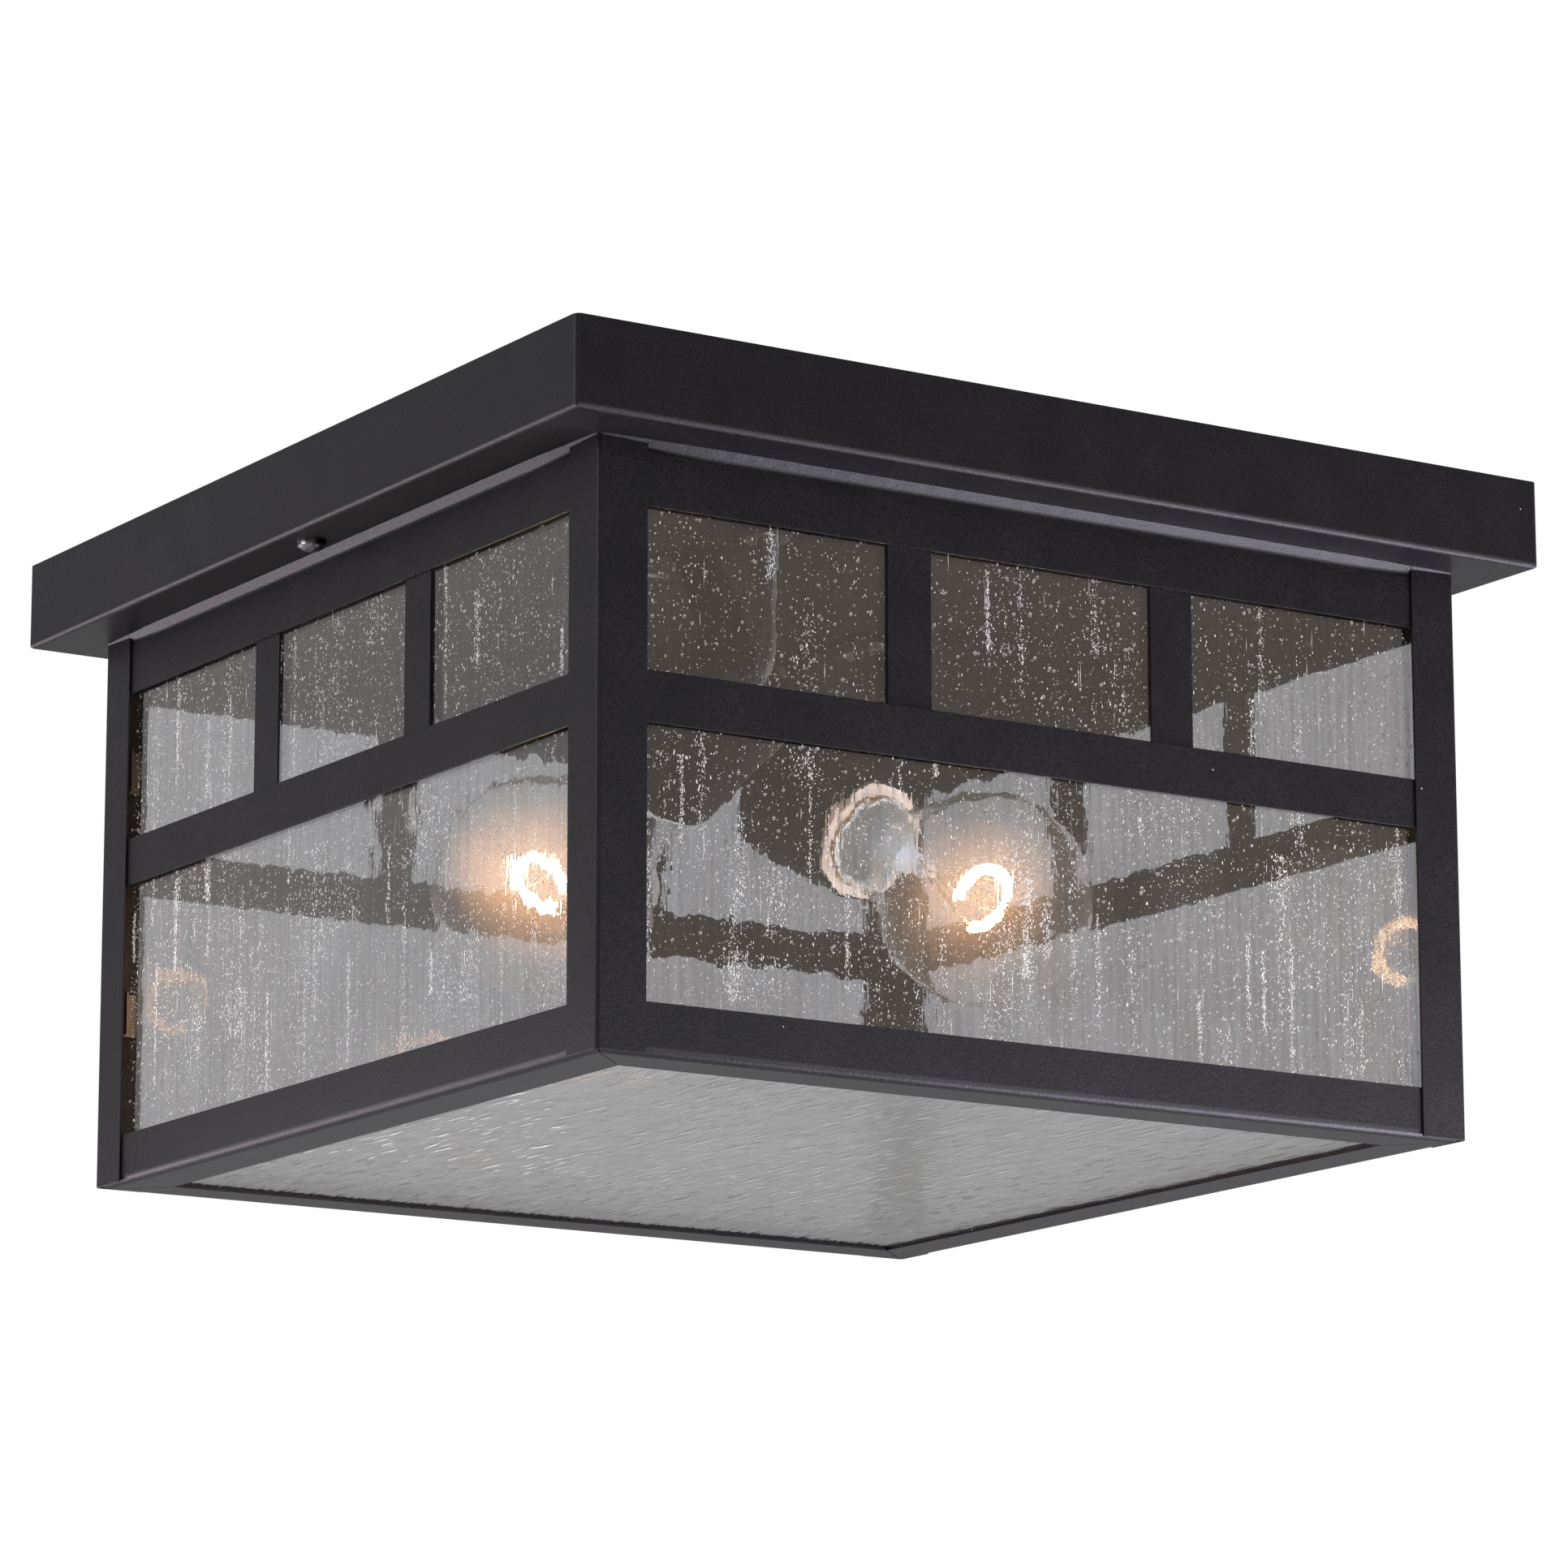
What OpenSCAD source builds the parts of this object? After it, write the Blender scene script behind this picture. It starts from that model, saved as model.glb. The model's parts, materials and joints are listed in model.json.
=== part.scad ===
// Square outdoor ceiling light: a flat pan with a glazed lantern under it and two lamps inside.
// The origin is on the ceiling, at the middle of the fixture. +Z is up, so everything hangs to -Z.
// The front side faces -Y. All sizes are in millimetres.

/* [Lantern cage] */
// Width of the square cage, over the corner posts
cage_w = 271.4; // [250:0.1:300]
// Thickness of the sheet that posts, rails and mullions are folded from
sheet_t = 0.8; // [0.6:0.05:1.2]
// Width of each leg of a corner post
post_w = 14.5; // [12:0.1:18]
// Outside radius of a corner post's fold
post_bend_r = 1.2; // [1:0.1:2]
// How far a post's end stays above the cage's lower edge
post_end_gap = 0.4; // [0.2:0.1:1.5]
// Height of the top rail's face
top_rail_h = 16.7; // [12:0.1:20]
// Outside radius of the top rail's fold
top_bend_r = 3; // [1.5:0.1:4]
// How far the top rail's flange reaches in under the pan
top_flange_w = 12.3; // [8:0.1:14]
// Height of the upper windows
upper_window_h = 42.1; // [38:0.1:60]
// Height of the rail between the upper and lower windows
mid_rail_h = 13.3; // [10:0.1:18]
// Height of the lower window
lower_window_h = 70.7; // [62:0.1:90]
// Height of the bottom rail's face
bottom_rail_h = 13.7; // [10:0.1:18]
// Outside radius of the bottom rail's fold
bottom_bend_r = 2.5; // [1.5:0.1:4]
// How far the bottom rail's lip reaches in under the glass
lip_w = 15.5; // [12:0.1:18]
// Gap between the mitred ends of two rails
mitre_gap = 0.2; // [0.1:0.05:0.4]
// Width of a mullion
mullion_w = 13.5; // [10:0.1:16]
// Width of the middle upper window, between the mullions
middle_window_w = 69.5; // [60:0.1:76]
// How far a mullion laps behind the rails above and below it
mullion_lap = 6; // [4:0.1:8]

/* [Glass] */
// Thickness of the seeded glass
glass_t = 3; // [2.5:0.1:4]
// Gap between a side pane's edge and the face of the next pane
pane_edge_gap = 0.8; // [0.5:0.1:1.5]
// Gap between a side pane and the flanges above and below it
pane_end_gap = 0.3; // [0.2:0.1:0.6]
// Gap between the bottom pane and the side panes
bottom_pane_gap = 1; // [0.6:0.1:2]
// Height of a glass clip
clip_h = 12; // [8:0.5:16]
// Thickness of a glass clip
clip_t = 0.6; // [0.5:0.05:1]
// How far a glass clip reaches along each pane
clip_reach = 5; // [4:0.5:8]

/* [Ceiling pan] */
// How far the pan stands out past the cage on each side
overhang = 16.7; // [15:0.1:30]
// Height of the pan, from the ceiling to its underside
pan_h = 24.3; // [22:0.1:32]
// Thickness of the pan's sheet
pan_t = 1; // [0.8:0.05:1.4]
// Outside radius of the pan's folds and corners
pan_bend_r = 2; // [1.8:0.1:4]
// Width of the pan's underside that shows inside the top rails
pan_ledge = 4.6; // [3:0.1:8]

/* [Body screws] */
// Distance from the cage's face to the axis of a body screw
screw_offset = 7.6; // [6:0.1:9]
// Radius of the body screw's shank
screw_r = 2; // [1.5:0.1:2.2]
// Radius of the body screw's round head
screw_head_r = 3.9; // [3.5:0.1:4.5]
// Height of the body screw's round head
screw_head_h = 2.8; // [2.2:0.1:3.2]
// Length of the body screw under its head
screw_l = 10; // [9:0.5:14]
// Width of the driver slot in the head
slot_w = 1.1; // [0.8:0.1:1.4]
// Depth of the driver slot in the head
slot_depth = 1.2; // [0.8:0.1:1.6]
// Running clearance round the body screw's shank
screw_clear = 0.06; // [0.03:0.01:0.1]
// Radius of the clinch nut that takes a body screw
clinch_nut_r = 4.6; // [4:0.1:5]
// Height of the clinch nut on top of the plate
clinch_nut_h = 4.5; // [3:0.1:6]

/* [Mounting plate and crossbar] */
// Thickness of the mounting plate
plate_t = 1; // [0.8:0.05:1.5]
// Gap between the mounting plate and the floor of the pan
plate_gap = 0.3; // [0.2:0.05:0.6]
// Gap between the mounting plate and the walls of the pan
plate_edge_gap = 2.4; // [1.5:0.1:3]
// Radius of the mounting plate's corners
plate_corner_r = 4; // [3:0.1:8]
// Thickness of the crossbar
bar_t = 1.6; // [1.2:0.1:2]
// Width of the crossbar
bar_w = 22; // [20:0.5:26]
// Half length of the crossbar's raised middle
bar_mid = 50; // [49:0.5:52]
// Length of each end of the crossbar
bar_end = 18; // [17:0.5:22]
// Length of the sloping step between the middle and an end
bar_slope = 4; // [3:0.5:5]
// How far the ends of the crossbar are stepped down
bar_step = 4.5; // [4:0.1:5.5]
// Distance between the middles of the two ceiling slots
slot_spacing = 79.4; // [78:0.1:81]
// Length of a ceiling slot, end to end
slot_l = 16; // [14:0.5:17]
// Half width of a ceiling slot
slot_r = 2.4; // [2.2:0.1:2.8]
// Radius of the crossbar's middle hole
bar_hole_r = 5.2; // [4.5:0.1:5.5]
// Radius of the machine screws through the crossbar
stud_r = 2; // [1.8:0.1:2.4]
// Radius of the machine screws' heads
stud_head_r = 3.6; // [3:0.1:4]
// Height of the machine screws' heads
stud_head_h = 2.2; // [1.8:0.1:2.6]
// Width across the flats of the jam nuts
nut_af = 8; // [7:0.1:9]
// Thickness of the jam nuts
nut_h = 3.2; // [2.5:0.1:4]
// Radius of the cap nuts under the plate
cap_r = 4.6; // [4:0.1:5.5]
// Height of the straight part of a cap nut
cap_h = 4; // [3:0.1:5]
// Play between a fixed screw and its hole
hole_play = 0.1; // [0.05:0.01:0.2]

/* [Lamps] */
// Sideways distance from the middle of the light to a socket's mouth
lamp_x = 49; // [44:0.5:54]
// Front to back distance from the middle of the light to a socket's mouth
lamp_y = 22; // [20:0.5:28]
// Distance from the ceiling to a socket's mouth
lamp_drop = 81; // [78:0.5:86]
// Angle that a lamp points down from level
lamp_droop = 27; // [22:1:32]
// Angle that a lamp points away from straight ahead
lamp_turn = 9; // [0:1:15]
// Radius of the porcelain socket
socket_r = 17; // [16:0.1:18]
// Thickness of the porcelain behind the socket's well
socket_floor = 9; // [8:0.5:12]
// Thickness of the metal cup round the socket
cup_t = 0.8; // [0.6:0.1:1.2]
// Gap between the socket and its metal cup
cup_gap = 0.2; // [0.1:0.05:0.4]
// How far the socket's rim stands out of the cup
socket_rim = 1.5; // [1:0.1:3]
// Thickness of the brass screw shell
shell_t = 0.5; // [0.4:0.05:0.7]
// Gap between the screw shell and the wall of the socket's well
shell_gap = 0.1; // [0.05:0.05:0.3]
// Radius of the hole in the bottom of the screw shell
shell_hole_r = 7; // [6:0.5:8]
// Width of the socket's contact tongue
contact_w = 5; // [4:0.1:6]
// Thickness of the contact tongue
contact_t = 0.5; // [0.4:0.05:0.7]
// Height of the contact tongue above the bottom of the well
contact_rise = 2.2; // [2:0.1:4]
// Thickness of the lamp bracket
bracket_t = 1.5; // [1.2:0.1:2]
// Width of the lamp bracket
bracket_w = 18; // [16:0.5:24]
// Length of the bracket's foot under the plate
foot_l = 24; // [22:0.5:28]
// How far the bracket's leg reaches below the middle of the socket
leg_tail = 13; // [11:0.5:15]
// Radius of the small screws that fix the brackets and sockets
small_r = 1.5; // [1.2:0.1:1.8]
// Distance between the two small screws in a pair
small_pitch = 12; // [11:0.5:13]
// Radius of the hole for the two leads
lead_hole_r = 4; // [3.6:0.1:4.5]
// Radius of a lead over its insulation
lead_r = 1.2; // [1:0.1:1.4]
// Distance between two leads that lie side by side
lead_pitch = 3.2; // [3:0.1:3.6]

/* [Bulbs] */
// Radius of the bulb's globe
globe_r = 30; // [28:0.5:32]
// Distance from the socket's mouth to the middle of the globe
globe_at = 52; // [48:0.5:56]
// How far the bulb's neck stands out past its screw base
neck_step = 0.4; // [0.2:0.1:0.5]
// Where the straight neck ends and the flare starts
neck_end = 6; // [4:0.5:10]
// Thickness of the bulb's glass
bulb_t = 0.6; // [0.5:0.05:1]
// Radius of the bulb's screw base
base_r = 13; // [12.8:0.05:13.2]
// Length of the screw base inside the socket
base_l = 22.5; // [22:0.1:23]
// How far the screw base stands out of the socket
base_out = 1.5; // [1:0.1:3]
// Depth of the thread on the screw base
thread_depth = 0.7; // [0.5:0.05:0.9]
// Pitch of the thread on the screw base
thread_pitch = 3.63; // [3.5:0.01:3.8]
// Clearance between the screw base and the screw shell
thread_clear = 0.06; // [0.03:0.01:0.1]
// Length of the insulator and contact at the bulb's tip
tip_l = 4; // [3.5:0.1:4.5]
// Gap between the bulb's tip and the socket's contact
contact_gap = 0.3; // [0.2:0.05:0.5]
// Distance from the socket's mouth to the filament's ring
filament_at = 51; // [48:0.5:54]
// Radius of the filament's ring
filament_r = 8.5; // [7:0.1:10]
// Radius of the coiled filament
coil_r = 0.45; // [0.35:0.05:0.6]
// Part of a full turn that the filament's ring covers, in degrees
filament_arc = 290; // [250:5:310]
// Radius of the two wires that carry the current to the filament
feed_r = 0.3; // [0.25:0.05:0.4]
// Radius of the three wires that support the filament
support_r = 0.2; // [0.15:0.05:0.3]
// Distance from the socket's mouth to the top of the glass stem
stem_top = 32; // [28:0.5:36]
// Radius of the glass stem's thin end
stem_r = 1.6; // [1.4:0.1:2.2]

/* [Hidden] */
$fn = 48;
eps = 0.01;
pan_w = cage_w + 2 * overhang;
lantern_h = pan_h + top_rail_h + upper_window_h + mid_rail_h + lower_window_h + bottom_rail_h;
// Distances from the middle of the light to the faces of the layers of a side
post_face = cage_w / 2;
rail_face = post_face - sheet_t;
mullion_face = rail_face - sheet_t;
pane_face = mullion_face - sheet_t;
pane_back = pane_face - glass_t;
pane_half = pane_back - pane_edge_gap;
bottom_half = pane_back - bottom_pane_gap;
opening_half = rail_face - top_flange_w - pan_ledge;
// How far a folded flange comes in from its outside, where a pane's face stands behind it
function fold_depth(r) =
    r - sqrt(pow(r - sheet_t, 2) - pow(max(r - (rail_face - pane_face), 0), 2));
// Levels, counted down from the ceiling
upper_top = pan_h + top_rail_h;
upper_bottom = upper_top + upper_window_h;
lower_top = upper_bottom + mid_rail_h;
lower_bottom = lower_top + lower_window_h;
pane_top = pan_h + fold_depth(top_bend_r) + pane_end_gap;
pane_bottom = lantern_h - fold_depth(bottom_bend_r) - pane_end_gap;
mullion_x = (middle_window_w + mullion_w) / 2;
mullion_l = upper_window_h + 2 * mullion_lap;
pan_inner_r = max(pan_bend_r - pan_t, 0.2);
clip_web = 1;
// A rail stops where the inside of the post's fold begins
rail_half = rail_face - (post_bend_r - sheet_t) - eps;
// Level of the mounting plate's underside, and the body screws' place
plate_low = pan_h - pan_t - plate_gap;
plate_top = plate_low - plate_t;
plate_half = pan_w / 2 - pan_t - plate_edge_gap;
screw_x = post_face + screw_offset;
clinch_sleeve_r = screw_r + 1.2;
// Crossbar: its ends, its machine screws and their nuts
bar_half = bar_mid + bar_slope + bar_end;
end_low = bar_step + bar_t;
stud_x = bar_mid + bar_slope + bar_end / 2;
cap_dome_r = 3.2;
// The lamps' local frame has its x axis along the lamp, out of the socket
lamp_dir = [sin(lamp_turn) * cos(lamp_droop), -cos(lamp_turn) * cos(lamp_droop), -sin(lamp_droop)];
lamp_side = [cos(lamp_turn), sin(lamp_turn), 0];
lamp_up = [sin(lamp_turn) * sin(lamp_droop), -cos(lamp_turn) * sin(lamp_droop), cos(lamp_droop)];
// The socket's well is as deep as the bulb's base, its tip and the contact need
well_l = base_l + tip_l + contact_gap + contact_rise;
socket_l = well_l + socket_floor;
cup_r = socket_r + cup_gap;
cup_back = socket_l + cup_t;
leg_back = cup_back + bracket_t;
// Height along the leg at which its back meets the top face of the foot
leg_rise = (lamp_drop - plate_low - leg_back * sin(lamp_droop)) / cos(lamp_droop);
foot_h = -leg_back * cos(lamp_droop) + leg_rise * sin(lamp_droop);
small_head_r = 1.9 * small_r;
small_head_h = small_r;
small_screw_bite = 5;
shell_r = base_r + thread_clear;
well_r = shell_r + shell_t + shell_gap;
neck_r = base_r + neck_step;
root_r = base_r - thread_depth;
base_wall = 0.6;
thread_turns = 5;
tip_r = 4.8;
// The middle of the filament's ring, how far the ring is turned about its lamp, and where its feed
// wires leave the stem's waist
ring_middle = 45;
ring_turn = 90;
feed_foot = [1.25 * stem_r, -0.875 * stem_r, 0.72 * stem_top];
// The neck's flare is one arc, tangent to the straight neck and to the globe
flare_r = (pow(globe_at - neck_end, 2) / (globe_r - neck_r) - globe_r - neck_r) / 2;
flare_cos = (globe_at - neck_end) / (globe_r + flare_r);
flare_sin = (neck_r + flare_r) / (globe_r + flare_r);
// Wiring: the grommets in the plate, the wire nuts and the levels that the leads run at
grommet_x = 42;
grommet_y = 66;
grommet_r = 5;
nut_mouth = [8, 52, -13];
nut_l = 20;
nut_r = 6;
nut_wall = 1;
nut_bite = 2.2;
black_level = -8;
white_level = -14;
lead_start = socket_l + 0.3;
ring_sides = 8;
steps_per_span = 5;
earth_bar = [-14, 6];
earth_plate = [-26, 30];

steel = "#c9c9cc";
bronze = "#2b282c";
brass = "#b08d45";

// Places a piece drawn for the front on one of the four sides: 0 front, 1 right, 2 back, 3 left
module on_side(k) {
    rotate([0, 0, 90 * k]) children();
}

// Places a piece on the right lamp (0) or, turned half round, on the left lamp (1)
module on_lamp(k) {
    rotate([0, 0, 180 * k])
        translate([lamp_x, lamp_y, -lamp_drop])
            rotate([0, 0, lamp_turn - 90])
                rotate([0, lamp_droop, 0])
                    children();
}

// Stands a piece that was drawn along Z on the lamp's own axis
module along_lamp() {
    rotate([0, 90, 0]) children();
}

// The same place as a point: a along the lamp, s to its side and t up from its axis
function lamp_point(a, s, t) =
    [lamp_x, lamp_y, -lamp_drop] + a * lamp_dir + s * lamp_side + t * lamp_up;

// A flat outline with rounded corners
module rounded_square(w, r) {
    square([w, w - 2 * r], center = true);
    square([w - 2 * r, w], center = true);
    for (x = [-1, 1])
        for (y = [-1, 1])
            translate([x * (w / 2 - r), y * (w / 2 - r)]) circle(r);
}

// An angle's section: two legs from the corner at the origin, with a rounded fold
module folded_angle(a, b, t, r) {
    difference() {
        union() {
            translate([r, 0]) square([a - r, t]);
            translate([0, r]) square([t, b - r]);
            intersection() {
                translate([r, r]) circle(r);
                square(r);
            }
        }
        translate([r, r]) circle(r - t);
    }
}

// Draws a section, given as how far out and how high, along X and cuts its ends to a mitre
module mitred_bar() {
    intersection() {
        rotate([90, 0, 90])
            translate([0, 0, -rail_half])
                linear_extrude(2 * rail_half)
                    children();
        translate([0, -mitre_gap, -lantern_h - 1])
            linear_extrude(lantern_h + 2)
                polygon([[0, 0], [-cage_w, -cage_w], [cage_w, -cage_w]]);
    }
}

// A block that hangs from level z1 with its lower edges and upright corners rounded
module rounded_block(w, h, r, z1) {
    module end_view() {
        translate([-w / 2, r - h]) square([w, h - r + z1]);
        translate([r - w / 2, -h]) square([w - 2 * r, r + eps]);
        for (x = [-1, 1]) translate([x * (w / 2 - r), r - h]) circle(r);
    }
    intersection() {
        rotate([90, 0, 0]) translate([0, 0, -w / 2]) linear_extrude(w) end_view();
        rotate([90, 0, 90]) translate([0, 0, -w / 2]) linear_extrude(w) end_view();
        translate([0, 0, -h]) linear_extrude(h + z1) rounded_square(w, r);
    }
}

module ceiling_pan() {
    color(bronze)
    difference() {
        rounded_block(pan_w, pan_h, pan_bend_r, 0);
        rounded_block(pan_w - 2 * pan_t, pan_h - pan_t, pan_inner_r, 1);
        translate([-opening_half, -opening_half, -pan_h - 1])
            cube([2 * opening_half, 2 * opening_half, pan_h + 2]);
        for (x = [-1, 1])
            translate([x * screw_x, 0, -pan_h - 1]) cylinder(r = screw_r + screw_clear, h = pan_t + 2);
    }
}

module post(k) {
    color(bronze)
    on_side(k)
        translate([-post_face, -post_face, post_end_gap - lantern_h])
            linear_extrude(lantern_h - pan_h - post_end_gap)
                folded_angle(post_w, post_w, sheet_t, post_bend_r);
}

module top_rail(k) {
    color(bronze)
    on_side(k)
        mitred_bar()
            translate([-rail_face, -pan_h])
                mirror([0, 1]) folded_angle(top_flange_w, top_rail_h, sheet_t, top_bend_r);
}

module mid_rail(k) {
    color(bronze)
    on_side(k)
        mitred_bar()
            translate([-rail_face, -lower_top]) square([sheet_t, mid_rail_h]);
}

module bottom_rail(k) {
    color(bronze)
    on_side(k)
        mitred_bar()
            translate([-rail_face, -lantern_h])
                folded_angle(lip_w, bottom_rail_h, sheet_t, bottom_bend_r);
}

module mullions(k) {
    color(bronze)
    on_side(k)
        for (x = [-1, 1])
            translate([x * mullion_x - mullion_w / 2, -mullion_face, -upper_bottom - mullion_lap])
                cube([mullion_w, sheet_t, mullion_l]);
}

module pane(k) {
    color([0.8, 0.85, 0.88, 0.35])
    on_side(k)
        translate([-pane_half, -pane_face, -pane_bottom])
            cube([2 * pane_half, glass_t, pane_bottom - pane_top]);
}

module bottom_pane() {
    color([0.8, 0.85, 0.88, 0.35])
    translate([-bottom_half, -bottom_half, sheet_t - lantern_h])
        cube([2 * bottom_half, 2 * bottom_half, glass_t]);
}

// A clip lies in a corner: an angle against the backs of two panes, on a web from the post
module glass_clip() {
    web_l = (rail_face - pane_back - clip_web) * sqrt(2);
    linear_extrude(clip_h) {
        translate([-pane_back, -pane_back]) square([clip_reach, clip_t]);
        translate([-pane_back, -pane_back]) square([clip_t, clip_reach]);
        translate([-pane_back + clip_t / 2, -pane_back + clip_t / 2])
            rotate(225) translate([0, -clip_web / 2]) square([web_l + clip_t, clip_web]);
    }
}

module glass_clips() {
    color(steel)
    for (k = [0:3])
        for (level = [(upper_top + upper_bottom) / 2, (lower_top + lower_bottom) / 2])
            on_side(k) translate([0, 0, -level - clip_h / 2]) glass_clip();
}

// The head hangs below the pan, with its driver slot across the view from the side
module body_screw(side) {
    color("#4c4a4e")
    translate([side * screw_x, 0, -pan_h]) {
        cylinder(r = screw_r, h = screw_l);
        difference() {
            rotate_extrude()
                intersection() {
                    translate([0, -screw_head_h]) square([screw_head_r, screw_head_h]);
                    union() {
                        translate([0, screw_head_h]) circle(2 * screw_head_h);
                        translate([0, -screw_head_h / 2]) square([screw_head_r, screw_head_h / 2]);
                    }
                }
            translate([-slot_w / 2, -screw_head_r - 1, -screw_head_h - 1])
                cube([slot_w, 2 * screw_head_r + 2, slot_depth + 1]);
        }
    }
}

module crossbar() {
    half = [[bar_mid, 0], [bar_mid + bar_slope, -bar_step], [bar_half, -bar_step]];
    upper = concat([for (i = [2:-1:0]) [-half[i][0], half[i][1]]], half);
    lower = [for (i = [5:-1:0]) upper[i] - [0, bar_t]];
    color(steel)
    difference() {
        rotate([90, 0, 0])
            translate([0, 0, -bar_w / 2])
                linear_extrude(bar_w)
                    polygon(concat(upper, lower));
        translate([0, 0, -bar_t - 1]) cylinder(r = bar_hole_r, h = bar_t + 2);
        for (x = [-1, 1]) {
            translate([x * slot_spacing / 2, 0, -bar_t - 1])
                linear_extrude(bar_t + 2) {
                    square([slot_l - 2 * slot_r, 2 * slot_r], center = true);
                    for (e = [-1, 1]) translate([e * (slot_l / 2 - slot_r), 0]) circle(slot_r);
                }
            translate([x * stud_x, 0, -end_low - 1]) cylinder(r = stud_r + hole_play, h = bar_t + 2);
        }
        translate([earth_bar[0], earth_bar[1], -bar_t - 1]) cylinder(r = small_r + hole_play, h = bar_t + 2);
    }
}

module crossbar_screws() {
    color(steel)
    for (x = [-1, 1])
        translate([x * stud_x, 0, 0]) {
            translate([0, 0, -bar_step]) cylinder(r = stud_head_r, h = stud_head_h);
            translate([0, 0, -plate_low - cap_h])
                cylinder(r = stud_r, h = plate_low + cap_h - bar_step + eps);
        }
}

module jam_nuts() {
    color(steel)
    for (x = [-1, 1])
        translate([x * stud_x, 0, -plate_top])
            difference() {
                cylinder(d = nut_af / cos(30), h = nut_h, $fn = 6);
                translate([0, 0, -1]) cylinder(r = stud_r + hole_play, h = nut_h + 2);
            }
}

module cap_nuts() {
    color(bronze)
    for (x = [-1, 1])
        translate([x * stud_x, 0, -plate_low])
            difference() {
                rotate_extrude() {
                    translate([0, -cap_h]) square([cap_r, cap_h]);
                    intersection() {
                        translate([0, -cap_h]) circle(cap_dome_r);
                        translate([0, -cap_h - cap_dome_r]) square([cap_dome_r, cap_dome_r + eps]);
                    }
                }
                translate([0, 0, -cap_h - hole_play]) cylinder(r = stud_r + hole_play, h = cap_h + 1);
            }
}

module mounting_plate() {
    color("#3a3639")
    translate([0, 0, -plate_low])
        difference() {
            linear_extrude(plate_t) rounded_square(2 * plate_half, plate_corner_r);
            for (x = [-1, 1]) {
                translate([x * stud_x, 0, -1]) cylinder(r = stud_r + hole_play, h = plate_t + 2);
                translate([x * screw_x, 0, -1]) cylinder(r = clinch_sleeve_r + hole_play, h = plate_t + 2);
            }
            translate([earth_plate[0], earth_plate[1], -1])
                cylinder(r = small_r + hole_play, h = plate_t + 2);
            for (k = [0, 1])
                rotate([0, 0, 180 * k]) {
                    translate([grommet_x, grommet_y, -1]) cylinder(r = grommet_r, h = plate_t + 2);
                    for (i = [0, 1])
                        translate([foot_screw(i)[0], foot_screw(i)[1], -1])
                            cylinder(r = small_r + hole_play, h = plate_t + 2);
                }
        }
}

module clinch_nuts() {
    color(steel)
    for (x = [-1, 1])
        translate([x * screw_x, 0, -plate_low])
            difference() {
                union() {
                    cylinder(r = clinch_sleeve_r, h = plate_t + eps);
                    translate([0, 0, plate_t]) cylinder(r = clinch_nut_r, h = clinch_nut_h);
                }
                translate([0, 0, -1]) cylinder(r = screw_r + screw_clear, h = plate_t + clinch_nut_h + 2);
            }
}

// A rubber ring that the edge of the plate's hole sits in
module lead_grommets() {
    color("#202020")
    for (k = [0, 1])
        rotate([0, 0, 180 * k])
            translate([grommet_x, grommet_y, -plate_low])
                difference() {
                    union() {
                        translate([0, 0, -1.5]) cylinder(r = grommet_r + 1.5, h = 1.5);
                        translate([0, 0, -eps]) cylinder(r = grommet_r - hole_play, h = plate_t + 2 * eps);
                        translate([0, 0, plate_t]) cylinder(r = grommet_r + 1.5, h = 1.5);
                    }
                    translate([0, 0, -3]) cylinder(r = grommet_r - 1.6, h = plate_t + 6);
                }
}

// A small round-head screw along Z, its head below zero and its shank of length l above
module small_screw(l) {
    translate([0, 0, -small_head_h / 2]) cylinder(r = small_r, h = l + small_head_h / 2);
    translate([0, 0, -small_head_h]) cylinder(r = small_head_r, h = small_head_h);
}

module earth_screws() {
    color("#3f7a44") {
        translate([earth_bar[0], earth_bar[1], -bar_t]) small_screw(bar_t - 0.2);
        translate([earth_plate[0], earth_plate[1], -plate_top])
            mirror([0, 0, 1]) small_screw(plate_t + 1.5);
    }
}

// Where the two screws of a bracket's foot stand, measured forward from the fold
function foot_screw(i) = let (h = foot_h + foot_l / 2 + (i - 0.5) * small_pitch)
    [lamp_x + h * sin(lamp_turn), lamp_y - h * cos(lamp_turn)];

// The bracket's side view, in the lamp's frame: a leg across the back of the cup and a level foot
module lamp_bracket(k) {
    fold = [-leg_back, leg_rise];
    leg_shift = bracket_t * (1 / cos(lamp_droop) - tan(lamp_droop));
    foot_end = fold + foot_l * [cos(lamp_droop), sin(lamp_droop)];
    down = bracket_t * [sin(lamp_droop), -cos(lamp_droop)];
    color(bronze)
    difference() {
        on_lamp(k)
            difference() {
                rotate([90, 0, 0])
                    translate([0, 0, -bracket_w / 2])
                        linear_extrude(bracket_w)
                            polygon([
                                [-leg_back, -leg_tail], fold, foot_end, foot_end + down,
                                fold + [bracket_t, -leg_shift], [-cup_back, -leg_tail]
                            ]);
                along_lamp() translate([0, 0, -leg_back - 1]) cylinder(r = lead_hole_r, h = bracket_t + 2);
                for (s = [-1, 1])
                    translate([0, s * small_pitch / 2, 0])
                        along_lamp() translate([0, 0, -leg_back - 1])
                            cylinder(r = small_r + hole_play, h = bracket_t + 2);
            }
        rotate([0, 0, 180 * k])
            for (i = [0, 1])
                translate([foot_screw(i)[0], foot_screw(i)[1], -plate_low - bracket_t - 1])
                    cylinder(r = small_r + hole_play, h = bracket_t + 2);
    }
}

module small_screws() {
    color(steel)
    for (k = [0, 1]) {
        rotate([0, 0, 180 * k])
            for (i = [0, 1])
                translate([foot_screw(i)[0], foot_screw(i)[1], -plate_low - bracket_t])
                    small_screw(bracket_t + plate_t + 1);
        on_lamp(k)
            for (s = [-1, 1])
                translate([0, s * small_pitch / 2, 0])
                    along_lamp()
                        translate([0, 0, -leg_back]) small_screw(leg_back - socket_l + small_screw_bite);
    }
}

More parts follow.
